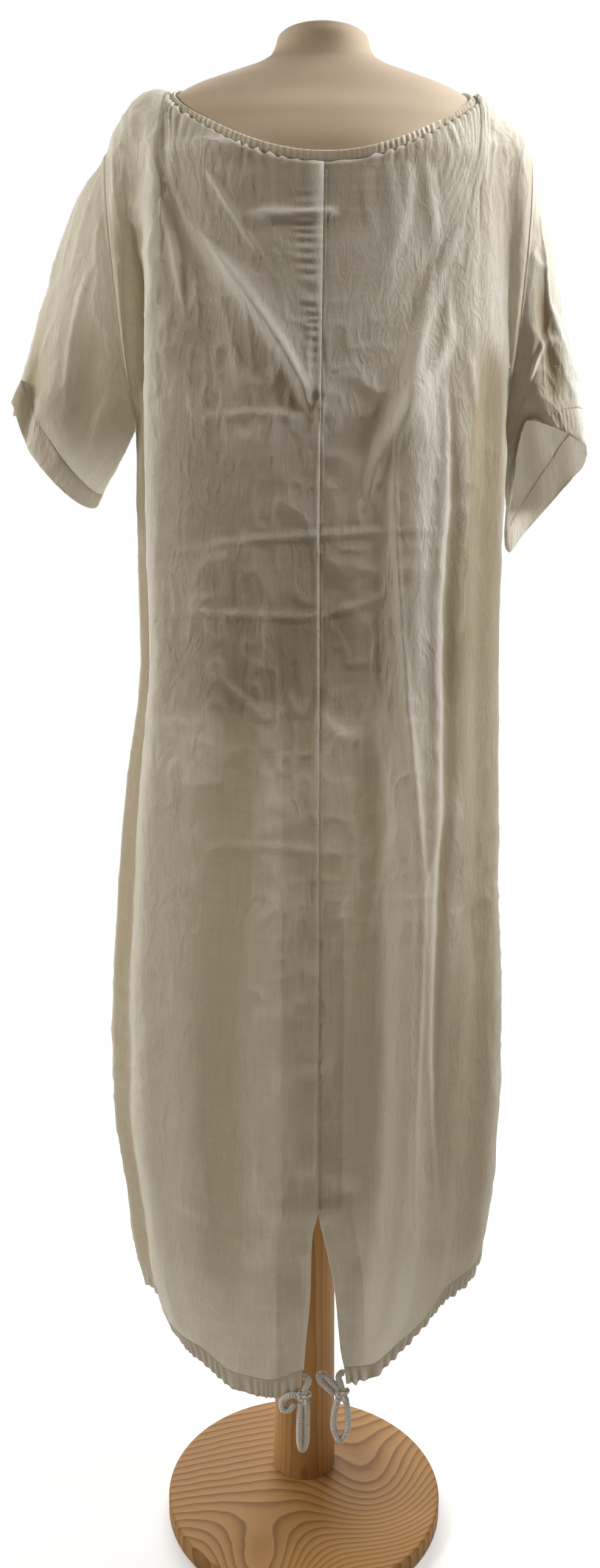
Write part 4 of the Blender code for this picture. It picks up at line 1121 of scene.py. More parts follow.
    def crumple(self, side: Side, across: Array, height: Array) -> Array:
        """Uneven hang and crinkles: slow upright waves, crests of warped noise, and finer crests."""
        seed = 11 if side is Side.BACK else 71
        warp = 0.35 * noise(across * 9, height * 6, seed + 9)
        slow = 0.0016 * noise(across / 0.055 + warp, height / 0.26, seed)
        middle = 0.0020 * ridges(across / 0.042 + 2 * warp, height / 0.060 + warp, seed + 1)
        fine = 0.0014 * ridges(across / 0.017 + warp, height / 0.022 - warp, seed + 2, 3.0)
        patch = 0.35 + 0.65 * smoothstep(-0.3, 0.5, noise(across / 0.11, height / 0.13, seed + 3))
        lean = across - 0.22 * (height - 1.4) * smoothstep(1.1, 1.3, height) * (across > 0)
        lean = lean + 0.006 * noise(across / 0.03, height / 0.03, seed + 6)
        streak = ridges(lean / 0.015, height / 0.050, seed + 4, 2.0)
        streak = streak + 0.6 * ridges(lean / 0.008, height / 0.022, seed + 5, 3.0)
        right = smoothstep(0.045, 0.085, across) * smoothstep(1.14, 1.32, height)
        edge = 0.55 * smoothstep(0.140, 0.165, -across)
        band = 0.6 * np.exp(-(((across - 0.108) / 0.020) ** 2))
        return slow + (middle + fine) * patch + 0.0015 * streak * patch * np.clip(right + edge + band, 0, 1)

    def puckers(self, side: Side, share: Array, below: Array) -> Array:
        """Gathers that fan out under the neck's casing: a wave along the neck with an uneven
        pitch, dying away with the distance below it."""
        seed = 5 if side is Side.BACK else 6
        along = share / self.neck_share * 0.19
        pitch = along / 0.0085 + 0.9 * noise(along / 0.03, below / 0.05, seed)
        strength = 0.35 + 0.65 * smoothstep(-0.2, 0.6, noise(along / 0.035, along * 0, seed + 20))
        reach = 0.012 + 0.040 * smoothstep(-0.1, 0.8, noise(along / 0.022, along * 0, seed + 40))
        on_neck = 1 - smoothstep(0.92, 1.02, np.abs(share) / self.neck_share)
        return 0.0020 * strength * on_neck * np.exp(-below / reach) * (0.6 + np.sin(math.tau * pitch))

    def lift(self, side: Side, part: Part, place: Array, column: Array, points: Array) -> Array:
        """How far the cloth stands out from its smooth shape, fading out at the side seams."""
        height = points[..., 2]
        across = place * self.half_girth(side, place > 0, np.minimum(height, self.chest))
        folds = self.back_folds if side is Side.BACK else self.front_folds
        total = self.fold_rise(folds, place, height) + self.crumple(side, across, height)
        if side is Side.BACK:
            total = total + crease_lift(self.back_creases, points[..., 0], height)
        both = np.minimum(column, 1 - column) * 2
        from_side = {Part.LEFT: column, Part.RIGHT: 1 - column, Part.WHOLE: both}[part]
        total = total * smoothstep(0.0, 0.055, from_side)
        if part is Part.LEFT:
            away = (1 - from_side) * 0.23
            pleat = np.sin(math.tau * (height / 0.0105 + 0.8 * noise(height / 0.03, height * 0, 3)))
            window = smoothstep(1.10, 1.30, height) * (1 - smoothstep(1.44, 1.47, height))
            total = total + 0.0006 * np.exp(-((away / 0.0016) ** 2))
            total = total + 0.0010 * window * pleat * np.exp(-(((away - 0.005) / 0.004) ** 2))
        return total

    def column_ways(self, side: Side, part: Part, column: Array) -> tuple[Array, Array]:
        """Sign and share of each column at the top edge."""
        from_middle = {Part.LEFT: 1 - column, Part.RIGHT: column, Part.WHOLE: np.abs(2 * column - 1)}[part]
        ones = np.ones_like(column)
        sign = {Part.LEFT: -ones, Part.RIGHT: ones, Part.WHOLE: np.where(column < 0.5, -1.0, 1.0)}[part]
        turn = self.back_break if side is Side.BACK else self.front_break
        share = np.where(
            from_middle <= turn,
            self.neck_share * from_middle / turn,
            self.neck_share + (1 - self.neck_share) * (from_middle - turn) / (1 - turn),
        )
        return sign, share

    def panel(self, side: Side, part: Part, columns: int) -> tuple[Array, Array, Array, Array]:
        """The outer face of a panel.

        Args:
            side: Back or front.
            part: How much of that side.
            columns: Columns of quads.

        Returns:
            Points, their inward-facing opposites, cloth positions, and the lift of each point.
        """
        column = np.linspace(0, 1, columns + 1)
        first = (self.casing + self.seam_gap) / (self.chest - self.hem_low)
        row = first + (1 - first) * np.linspace(0, 1, self.low_rows + 1)[:, None]
        low, low_place = self.low_points(side, part, row, column[None, :])
        sign, share = self.column_ways(side, part, column)
        place = self.places(side, part, column, np.full(column.shape, self.chest))
        rise = np.linspace(0, 1, self.yoke_rows + 1)[1:]
        yoke = self.yoke_points(side, place, sign, share, rise)
        yoke[:-1] = self.form.cleared(yoke[:-1], self.solid_wall + self.rest_gap + self.yoke_ease, 0.002)
        grid = np.concatenate([low, yoke])
        place = np.concatenate([low_place, np.broadcast_to(place, (len(rise), len(place)))])
        columns_of = np.broadcast_to(column, place.shape)
        grid = self._softened(grid, share)
        normals = facing_out(grid_normals(grid), grid, np.array([0, 0, 0.8]))
        lift = self.lift(side, part, place, columns_of, grid)
        below = np.cumsum(np.linalg.norm(np.diff(grid, axis=0), axis=-1)[::-1], axis=0)[::-1]
        below = np.concatenate([below, np.zeros((1, below.shape[1]))])
        gathers = self.puckers(side, (sign * share)[None, :], below) * (below < 0.5)
        lift = lift * smoothstep(0.0, 0.016, below) + gathers
        moved = grid + normals * lift[..., None]
        if part is not Part.WHOLE:
            seam = grid[:, -1:, 0] if part is Part.LEFT else grid[:, :1, 0]
            keep = np.exp(-(((grid[..., 0] - seam) / 0.004) ** 2))
            moved[..., 0] = moved[..., 0] * (1 - keep) + grid[..., 0] * keep
        if part is Part.LEFT:
            run = moved[:, -1] - moved[:, -3]
            moved[:, -1] += run / run[:, :1] * self.lap
        near = moved[..., 2] > 0.93
        moved[near] = self.form.cleared(moved[near], self.cloth + 0.0009, 0.0004)
        normals = facing_out(grid_normals(moved), moved, np.array([0, 0, 0.8]))
        thick = np.full(moved.shape[1], self.cloth)
        if part is Part.LEFT:
            thick[-1] = 0.0004
        inner = moved - normals * thick[:, None]
        up = np.cumsum(np.linalg.norm(np.diff(grid, axis=0), axis=-1), axis=0)
        up = np.concatenate([np.zeros((1, up.shape[1])), up])
        across = place * self.half_girth(side, place > 0, np.minimum(grid[..., 2], self.chest))
        return moved, inner, np.stack([across, up], -1), lift

    def _softened(self, grid: Array, share: Array) -> Array:
        """The grid with the bend at the chest line eased, away from the armholes, by averaging
        each point with those above and below it."""
        window = slice(self.low_rows - 14, self.low_rows + 16)
        weight = (np.sin(np.linspace(0, math.pi, 30)) ** 0.5)[:, None, None]
        weight = weight * (1 - smoothstep(0.6, 0.95, share))[None, :, None]
        for _ in range(24):
            block = grid[window]
            mean = block.copy()
            mean[1:-1] = 0.25 * block[:-2] + 0.5 * block[1:-1] + 0.25 * block[2:]
            grid[window] = block + (mean - block) * weight
        return grid

    def build(self, linen: bpy.types.Material, hemmed: bpy.types.Material,
              under: bpy.types.Material) -> None:
        """Makes the panels, the hem's casings, the seam allowances and the vent's facings."""
        for name, side, part, columns, flat, area in (
            ("back_left", Side.BACK, Part.LEFT, 126, (0.31, 1.40), 0.390),
            ("back_right", Side.BACK, Part.RIGHT, 126, (0.31, 1.36), 0.375),
            ("front", Side.FRONT, Part.WHOLE, 122, (0.62, 1.38), 0.790),
        ):
            outer, inner, uv, lift = self.panel(side, part, columns)
            # Painted highlight along the left panel's lapped edge at the centre seam and on the fold crests,
            # with painted shade in the hollows.
            edge = np.exp(-(((uv[..., 0] - uv[:, -1:, 0]) / 0.0018) ** 2))
            painted_highlight_and_shade = np.clip(lift / 0.003, -0.7, 1) + 2.0 * edge * (part is Part.LEFT)
            marks = {"layers": np.zeros(lift.shape), "painted_highlight_and_shade": painted_highlight_and_shade}
            piece = shell(f"{name}_linen", outer, inner, linen, uv=uv, marks=marks)
            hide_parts(name)
            strips = [] if part is Part.WHOLE else [self.allowance_piece(part, inner, uv, under)]
            log.info("%s: %d points", piece.name, len(piece.data.vertices))
            self.casing_piece(name, side, part, hemmed)
            if part is not Part.WHOLE:
                self.facing_piece(part, under)

    def allowance_piece(self, part: Part, inner: Array, uv: Array,
                        linen: bpy.types.Material) -> bpy.types.Object:
        """The seam's allowance, a strip that lies against the panel's inner face. The left one runs
        under the whole centre seam and a little past it, and the right one only near the vent."""
        left = part is Part.LEFT
        edge = inner[:, -1 if left else 0, 2]
        rows = slice(int(np.argmax(edge > 0.412)), len(edge) - 2 if left else int(np.argmax(edge > 0.74)))
        strip = inner[rows, -17:] if left else inner[rows, :13]
        normals = facing_out(grid_normals(strip), strip, np.array([0, 0.3, 0.8]))
        strip = strip - normals * 0.0002
        cloth = uv[rows, -17:] if left else uv[rows, :13]
        if left:
            strip = np.concatenate([strip, strip[:, -1:] + [0.0035, 0, 0]], axis=1)
            normals = np.concatenate([normals, normals[:, -1:]], axis=1)
            cloth = np.concatenate([cloth, cloth[:, -1:] + [0.0035, 0]], axis=1)
        piece = shell(f"seam_allowance_{part.value}", strip, strip - normals * 0.0004, linen, uv=cloth)
        return piece

    def casing_piece(self, name: str, side: Side, part: Part, hemmed: bpy.types.Material) -> None:
        """The hem's drawstring casing: a flat loop of cloth carried along the hem, its outline a
        superellipse, with uneven gathers that deepen towards its lower edge."""
        count = 520 if part is Part.WHOLE else 300
        column = np.linspace(0, 1, count + 1)
        around = np.linspace(-math.pi / 2, 1.5 * math.pi, 21)[:-1]
        s, c = np.sin(around), np.cos(around)
        rise = 0.5 + 0.5 * np.sign(s) * np.abs(s) ** 0.85
        out = 0.5 * np.sign(c) * np.abs(c) ** 0.6
        top = self.casing / (self.chest - self.hem_low)
        points, place = self.low_points(side, part, (rise * top)[:, None], column[None, :])
        lift = self.lift(side, part, place, np.broadcast_to(column, place.shape), points)
        base, _ = self.low_points(side, part, np.array([[top], [top + 0.01]]), column[None, :])
        normals = facing_out(grid_normals(base), base, np.array([0, 0, base[..., 2].mean()]))[0]
        along = place[:1] * self.half_girth(side, place[:1] > 0, points[:1, :, 2])
        seed = 31 if side is Side.BACK else 37
        pitch = along / 0.0088 + 1.1 * noise(along / 0.03, along * 0, seed)
        depth = 0.35 + 0.65 * smoothstep(-0.3, 0.4, noise(along / 0.05, along * 0 + 3, seed))
        if part is Part.RIGHT:
            depth = depth + 0.5 * smoothstep(0.02, 0.09, along)
        ends = smoothstep(0.0, 0.03, np.minimum(column, 1 - column))[None, :]
        shape = (0.55 + 0.45 * np.cos(math.pi * (rise[:, None] - 0.12)))
        wave = np.sin(math.tau * pitch) * depth * ends * shape * 0.0015
        tuck = np.sin(math.tau * pitch * 0.5 + 1.0) * depth * ends * (1 - rise[:, None]) * 0.0013
        thick = 0.0028 + 0.0008 * np.sin(math.tau * pitch + 0.7) * ends
        moved = points + normals[None] * (lift + wave + out[:, None] * thick - 0.0010)[..., None]
        moved[..., 2] += tuck - 0.0010 * (1 - rise[:, None])
        uv = np.stack(np.broadcast_arrays(along, rise[:, None] * self.casing), -1)
        # Painted shade darkens the doubled cloth. Painted highlight lightens the crests of the gathers, and
        # painted shade darkens the dips between them.
        marks = {"layers": np.full(place.shape, 0.45), "painted_highlight_and_shade": np.clip(wave / 0.0015, -1, 1)}
        rings = np.moveaxis(moved, 1, 0)
        turned = {k: v.T for k, v in marks.items()}
        piece = tube(f"hem_{name}_casing", rings, hemmed, np.moveaxis(uv, 1, 0), turned)
        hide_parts(f"hem_{name}")

    def facing_piece(self, part: Part, hemmed: bpy.types.Material) -> None:
        """The turned-in edge of the vent, a strip that lies against the panel's inner face."""
        first = (self.casing + self.seam_gap) / (self.chest - self.hem_low)
        row = first + (1 - first) * np.linspace(0, 4 / 19, 70)[:, None]
        share = np.linspace(0, 2 / 15, 22)[None, :]
        column = 1 - share[:, ::-1] if part is Part.LEFT else share
        points, place = self.low_points(Side.BACK, part, row, column)
        normals = facing_out(grid_normals(points), points, np.array([0, 0, 0.3]))
        lift = self.lift(Side.BACK, part, place, np.broadcast_to(column, place.shape), points)
        under = points + normals * (lift - self.cloth - 0.0005)[..., None]
        uv = np.stack([points[..., 0], points[..., 2]], -1)
        # Painted shade: the turned-under cloth is made darker.
        marks = {"layers": np.full(place.shape, 0.3), "painted_highlight_and_shade": np.zeros(place.shape)}
        piece = shell(f"vent_facing_{part.value}_turned", under, under - normals * 0.0006, hemmed,
                      uv=uv, marks=marks)
        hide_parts(f"vent_facing_{part.value}")


# Sleeves


@dataclass
class Sleeve:
    """One short sleeve on its dropped shoulder, with the turned hem at its mouth."""

    name: str
    sign: float
    cuts: tuple[Cut, ...]
    folds: tuple[SleeveFold, ...]
    creases: tuple[Crease, ...]
    seed: int
    arch: float = 0.0
    far_share: float = 1.0
    notch: tuple[float, float, float] = (0.5, 0.1, 0.0)
    cuff_share: float = 0.13
    cloth: float = 0.0007
    columns: int = 170
    rows: int = 84

    def ring(self, share: Array, turn: Array) -> Array:
        """Point at a share of the sleeve's length and a turn from 0, the fold underneath, by the
        back to 1, the crease on top, and by the front to 2: two cubic curves with level handles."""
        names = ("low_out", "low_height", "top_out", "top_height", "half_depth", "back_lift")
        low_out, low_height, top_out, top_height, half, lift = (
            eased(self.cuts, "share", name, share) for name in names
        )
        side = np.where(turn <= 1, -1.0, 1.0)
        rise = np.where(turn <= 1, turn, 2 - turn)
        share_, rise_ = np.broadcast_arrays(share, rise)
        low = np.stack([self.sign * low_out + 0 * rise_, 0 * rise_, low_height + 0 * rise_], -1)
        top = np.stack([self.sign * top_out + 0 * rise_, 0 * rise_, top_height + 0 * rise_], -1)
        handle = np.stack([0 * rise_, side * 4 / 3 * half + 0 * rise_, 0 * rise_], -1)
        points = bezier(low, low + handle, top + handle, top, rise_)
        arch = smoothstep(0.0, self.arch, rise_) * (1 - rise_) if self.arch else np.sin(math.pi * rise_)
        points[..., 2] += np.where(turn <= 1, 1.0, -self.far_share) * lift * arch
        place, width, height = self.notch
        back = (turn <= 1) * smoothstep(0.72, 1.0, share)
        points[..., 2] += height * back * np.exp(-(((rise_ - place) / width) ** 2))
        return points

    def grid(self, share: Array, columns: int) -> tuple[Array, Array, Array]:
        """Outer face of the sleeve for a column of shares, its normals and the lift."""
        turn = 2 * np.arange(columns)[None, :] / columns
        points = self.ring(share[:, None], turn)
        normals = facing_out(grid_normals(points, True), points, points.mean(axis=1, keepdims=True))
        place = np.where(turn <= 1, turn, turn - 2)
        lift = np.zeros(points.shape[:2])
        for fold in self.folds:
            strength = smoothstep(fold.start, fold.start + 0.35, share)
            strength = strength * (1 - smoothstep(fold.end - 0.3, fold.end, share))
            lift = lift + fold.rise * strength[:, None] * np.exp(-(((place - fold.place) / fold.width) ** 2))
        around, along = turn * 0.30, share[:, None] * 0.31
        ring = math.tau * turn / 2
        u, v = np.cos(ring) * 0.095, np.sin(ring) * 0.095
        wild = noise(u / 0.05 + along / 0.14, v / 0.05, self.seed) * 0.0022
        wild = wild + ridges(u / 0.030 + along / 0.07, v / 0.030 - along / 0.09, self.seed + 1) * 0.0016
        wild = wild + ridges(u / 0.012 + along / 0.022, v / 0.012, self.seed + 2, 3.0) * 0.0007
        wave = np.sin(ring * 3 + self.seed) * 0.0022 * smoothstep(0.7, 1.0, share)[:, None]
        lift = (lift + wild + wave) * smoothstep(0.0, 0.10, share)[:, None]
        here = (np.broadcast_to(v, lift.shape) for v in (place * 0.30, along))
        lift = lift + crease_lift(self.creases, *here)
        lift = lift + 0.0012 * np.exp(-(((share[:, None] - 0.016) / 0.010) ** 2))
        moved = points + normals * lift[..., None]
        return moved, np.stack(np.broadcast_arrays(around, along), -1), lift

    def build(self, linen: bpy.types.Material, hemmed: bpy.types.Material) -> None:
        """Makes the sleeve and its cuff."""
        seam = 1 - self.cuff_share
        share = np.linspace(0.0, seam, self.rows)
        outer, uv, lift = self.grid(share, self.columns)
        outer[0] += np.array([self.sign * 0.0004, 0, 0])
        normals = facing_out(grid_normals(outer, True), outer, outer.mean(axis=1, keepdims=True))
        # Painted shade darkens a band by the armhole seam. Painted highlight lightens the fold crests, and
        # painted shade darkens the hollows.
        near_seam = np.broadcast_to(share[:, None], lift.shape) < 0.03
        marks = {"layers": 0.5 * near_seam, "painted_highlight_and_shade": np.clip(lift / 0.004, -1, 1)}
        inner = outer - normals * self.cloth
        piece = shell(f"sleeve_{self.name}_linen", outer, inner, linen, True, uv, marks)
        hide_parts(f"sleeve_{self.name}")
        self.cuff(seam, hemmed)

    def cuff(self, seam: float, hemmed: bpy.types.Material) -> None:
        """The turned hem: a double wall whose section is a flat superellipse, sewn at its top."""
        around = np.linspace(-math.pi / 2, 1.5 * math.pi, 17)[:-1]
        s, c = np.sin(around), np.cos(around)
        rise = 0.5 + 0.5 * np.sign(s) * np.abs(s) ** 0.8
        out = np.sign(c) * np.abs(c) ** 0.5
        share = seam - 0.008 + (1 - seam + 0.008) * (1 - rise)
        outer, uv, lift = self.grid(share, self.columns)
        smooth = self.ring(share[:9, None], 2 * np.arange(self.columns)[None, :] / self.columns)
        normals = facing_out(grid_normals(smooth, True), smooth, smooth.mean(axis=1, keepdims=True))[4]
        drift = 2 * noise(uv[..., 0] / 0.04, uv[..., 0] * 0, self.seed + 5)
        ruck = 0.0006 * np.sin(math.tau * uv[..., 0] / 0.011 + drift) * rise[:, None]
        section = outer + normals[None] * ((out * 0.0010 - 0.0009)[:, None] + ruck)[..., None]
        # Painted shade darkens the doubled hem. Painted highlight lightens the fold crests, and painted
        # shade darkens the hollows.
        marks = {"layers": np.full(lift.shape, 0.45).T, "painted_highlight_and_shade": np.clip(lift / 0.004, -1, 1).T}
        piece = tube(f"cuff_{self.name}_turned", np.moveaxis(section, 1, 0), hemmed,
                     np.moveaxis(uv, 1, 0), marks, looped=True)
        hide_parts(f"cuff_{self.name}")


@dataclass
class NeckBand:
    """The narrow elastic casing that gathers the scoop neck, half behind and half in front."""

    form: DressForm
    width: float = 0.0105
    wall: float = 0.0020
    rest_gap: float = 0.0011
    pucker: float = 0.0012

    def build(self, hemmed: bpy.types.Material) -> None:
        """Makes both halves: a flat superellipse section carried along the neck's edge, drawn up
        into uneven puckers, with a thin roll at its top."""
        for name, side in (("neck_band_back", Side.BACK), ("neck_band_front", Side.FRONT)):
            turn = np.linspace(0, math.pi, 560)
            around = np.linspace(-math.pi / 2, 1.5 * math.pi, 17)[:-1]
            s, c = np.sin(around), np.cos(around)
            down = 0.5 - 0.5 * np.sign(s) * np.abs(s) ** 0.8
            out = 0.5 + 0.5 * np.sign(c) * np.abs(c) ** 0.6
            line, _ = self.form.neckline(side, turn, np.array(0.0))
            along = np.concatenate([[0], np.cumsum(np.linalg.norm(np.diff(line, axis=0), axis=-1))])
            seed = 51 if side is Side.BACK else 57
            pitch = along / 0.0064 + 1.2 * noise(along / 0.03, along * 0, seed)
            strength = 0.25 + 0.75 * smoothstep(-0.3, 0.4, noise(along / 0.04, along * 0 + 2, seed))
            wave = (0.5 + 0.5 * np.sin(math.tau * pitch)) * strength
            points, normals = self.form.neckline(side, turn[:, None], self.width * down[None, :])
            roll = 0.0006 * np.exp(-(((down - 0.07) / 0.10) ** 2))[None, :]
            belly = 0.35 + 0.65 * np.sin(math.pi * np.clip(down, 0.05, 1))[None, :]
            rise = self.wall + roll + self.pucker * wave[:, None] * belly
            moved = points + normals * (self.rest_gap + out[None, :] * rise)[..., None]
            moved[..., 2] += 0.0004 * (wave[:, None] - 0.5) * (1 - down[None, :])
            moved[[0, -1], :, 1] = -side.value * 0.0012
            uv = np.stack(np.broadcast_arrays(along[:, None], down[None, :] * self.width), -1)
            # Painted highlight on the top roll and on the pucker crests, painted shade between the puckers
            # and over the doubled cloth.
            painted_highlight_and_shade = wave[:, None] * 1.4 - 0.7 + 1.6 * (down < 0.12)[None, :]
            marks = {"layers": np.full(moved.shape[:2], 0.25), "painted_highlight_and_shade": painted_highlight_and_shade}
            piece = tube(f"{name}_elastic", moved, hemmed, uv, marks)
            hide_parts(name)


class RoutePoint(NamedTuple):
    """A point of a cord's route, from the middle of its knot."""

    across: float
    out: float
    height: float


@dataclass
class CordEnd:
    """One end of the drawstring: it leaves the casing, and is knotted into a loop."""

    name: str
    knot: tuple[float, float, float]
    lead: tuple[RoutePoint, ...]
    loop: tuple[RoutePoint, ...]
    tail: tuple[RoutePoint, ...]
    diameter: float = 0.0073
    knot_size: float = 0.0021
    knot_radius: float = 0.0034

    def route(self, points: tuple[RoutePoint, ...]) -> Array:
        """The smooth centreline through the points."""
        return smooth_line(points, 8) + np.array(self.knot)

    def strand(self, name: str, line: Array, cotton: bpy.types.Material,
               rounded: tuple[bool, bool]) -> bpy.types.Object:
        """A round tube along a line: circles across its tangent, shrinking to round its free ends."""
        step = np.linalg.norm(np.diff(line, axis=0), axis=-1)
        along = np.concatenate([[0], np.cumsum(step)])
        even = np.linspace(0, along[-1], max(12, int(along[-1] / 0.0011)))
        line = np.stack([np.interp(even, along, line[:, k]) for k in range(3)], -1)
        tangent = unit(np.gradient(line, axis=0))
        first = unit(np.cross(tangent, np.array([0.0, 1.0, 0.0])))
        second = np.cross(tangent, first)
        radius = np.full(len(line), self.diameter / 2)
        for is_round, far in ((rounded[0], even), (rounded[1], even[-1] - even)):
            if is_round:
                short = np.clip(1 - far / (self.diameter / 2), 0, 0.985)
                radius = radius * np.sqrt(1 - short**2)
        angle = np.arange(16) * math.tau / 16
        ring = np.cos(angle)[None, :, None] * first[:, None] + np.sin(angle)[None, :, None] * second[:, None]
        uv = np.stack(np.broadcast_arrays(angle[None, :] / math.tau, even[:, None]), -1)
        return tube(name, line[:, None] + ring * radius[:, None, None], cotton, uv)

    def build(self, cotton: bpy.types.Material) -> None:
        """Makes the knot, the short lead and tail, and the loop."""
        t = np.linspace(0, math.tau, 141)[:-1]
        trefoil = [np.sin(t) + 2 * np.sin(2 * t), 1.1 * np.sin(3 * t), np.cos(t) - 2 * np.cos(2 * t)]
        centre = np.array(self.knot)
        line = np.stack(trefoil, -1) * self.knot_size * np.array([1.0, 1.2, 1.0]) + centre
        tangent = unit(np.roll(line, -1, 0) - np.roll(line, 1, 0))
        outward = unit((line - centre) - ((line - centre) * tangent).sum(-1, keepdims=True) * tangent)
        second = np.cross(tangent, outward)
        angle = np.arange(12) * math.tau / 12
        ring = np.cos(angle)[None, :, None] * outward[:, None]
        ring = ring + np.sin(angle)[None, :, None] * second[:, None]
        uv = np.stack(np.broadcast_arrays(angle[None, :] / math.tau, t[:, None] * 0.007), -1)
        surface = line[:, None] + ring * self.knot_radius
        knot = tube(f"knot_{self.name}_pulled", surface, cotton, uv, looped=True)
        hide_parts(f"knot_{self.name}")
        for part, points, ends in (("lead", self.lead, (False, False)), ("tail", self.tail, (False, True))):
            piece = self.strand(f"cord_{part}_{self.name}_plait", self.route(points), cotton, ends)
            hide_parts(f"cord_{part}_{self.name}")
        line = self.route(self.loop)
        loop = self.strand(f"cord_loop_{self.name}_plait", line, cotton, (False, False))
        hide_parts(f"cord_loop_{self.name}")


# Studio


@dataclass
class Studio:
    """Camera, floor and soft lights: bright behind the dress, dim before it."""

    place: tuple[float, float, float] = (-0.0146, -1.37, 1.052)
    down: float = 8.0
    roll: float = 0.68
    lens: float = 28.0

    def camera(self) -> None:
        """Sets the camera at the photograph's angle."""
        data = bpy.data.cameras.new("Camera")
        data.lens, data.sensor_width = self.lens, 36.0
        camera = bpy.data.objects.new("Camera", data)
        bpy.context.scene.collection.objects.link(camera)
        camera.location = self.place
        camera.rotation_mode = "XYZ"
        tilt, roll = math.radians(90 - self.down), math.radians(self.roll)
        ahead = np.array([0.0, math.sin(tilt), -math.cos(tilt)])
        up, right = np.array([0.0, math.cos(tilt), math.sin(tilt)]), np.array([1.0, 0.0, 0.0])
        x = math.cos(roll) * right + math.sin(roll) * up
        y = -math.sin(roll) * right + math.cos(roll) * up
        turn = bpy.data.objects["Camera"].rotation_euler.to_matrix()
        turn.col[0], turn.col[1], turn.col[2] = x.tolist(), y.tolist(), (-ahead).tolist()
        camera.rotation_euler = turn.to_euler()
        bpy.context.scene.camera = camera

    @staticmethod
    def light(name: str, at: tuple, aim: tuple, size: tuple, power: float, colour: tuple = (1.0, 1.0, 1.0),
              spread: float = 180.0) -> None:
        """A rectangular soft light that the camera doesn't see."""
        data = bpy.data.lights.new(name, "AREA")
        data.shape, data.size, data.size_y = "RECTANGLE", size[0], size[1]
        data.energy, data.color = power, colour
        data.spread = math.radians(spread)
        lamp = bpy.data.objects.new(name, data)
        bpy.context.scene.collection.objects.link(lamp)
        lamp.location = at
        away = bpy.data.objects[name].location.copy()
        for k in range(3):
            away[k] = at[k] - aim[k]
        lamp.rotation_euler = away.to_track_quat("Z", "Y").to_euler()
        lamp.visible_camera = False

    def build(self) -> None:
        """Makes the lights, the world and the floor."""
        scene = bpy.context.scene
        scene.view_settings.view_transform = "Standard"
        self.light("Window behind", (-0.45, 2.4, 1.75), (-0.1, 0, 1.0), (2.7, 2.2), 110.0)
        self.light("Side left", (-2.0, 0.45, 1.9), (0, 0, 1.35), (1.0, 1.0), 24.0, (0.96, 0.98, 1.0))
        self.light("Side right", (1.9, 0.45, 2.2), (0.1, 0, 1.4), (0.9, 0.9), 14.0)
        self.light("Top right", (1.1, 0.25, 2.9), (0.2, 0, 1.45), (0.6, 0.6), 44.0)
        self.light("Raking left", (-1.7, -0.45, 1.9), (0, 0, 1.0), (0.4, 0.6), 20.5, (1.0, 0.98, 0.94))
        self.light("Raking right", (1.6, -0.50, 2.1), (0.29, 0, 1.35), (0.4, 0.4), 2.5, spread=46.0)
        self.light("Fill", (-0.3, -2.6, 1.6), (0, 0, 0.9), (1.6, 1.6), 5.6, (1.0, 0.69, 0.40))
        world = bpy.data.worlds.new("Studio")
        scene.world = world
        world.use_nodes = True
        net = Net(world.node_tree)
        shown = net.add("ShaderNodeBackground", Color=rgb(1, 1, 1), Strength=1.0)
        soft = world.node_tree.nodes["Background"]
        soft.inputs["Color"].default_value = rgb(1.0, 0.80, 0.54)
        soft.inputs["Strength"].default_value = 0.045
        ray = net.add("ShaderNodeLightPath")
        mixed = net.add("ShaderNodeMixShader", Fac=ray.outputs["Is Camera Ray"])
        net.put(mixed.inputs[1], soft.outputs[0])
        net.put(mixed.inputs[2], shown.outputs[0])
        net.put(world.node_tree.nodes["World Output"].inputs["Surface"], mixed.outputs[0])
        mesh = bpy.data.meshes.new("Floor")
        corners = [(-1.4, -0.4, 0), (1.4, -0.4, 0), (1.4, 1.2, 0), (-1.4, 1.2, 0)]
        mesh.from_pydata(corners, [], [(0, 1, 2, 3)])
        paper = bpy.data.materials.new("White paper")
        paper.use_nodes = True
        surface = paper.node_tree.nodes["Principled BSDF"]
        surface.inputs["Base Color"].default_value = rgb(0.72, 0.72, 0.72)
        surface.inputs["Roughness"].default_value = 0.9
        surface.inputs["Emission Color"].default_value = rgb(1, 1, 1)
        surface.inputs["Emission Strength"].default_value = 0.2
        mesh.materials.append(paper)
        floor = bpy.data.objects.new("Floor", mesh)
        scene.collection.objects.link(floor)


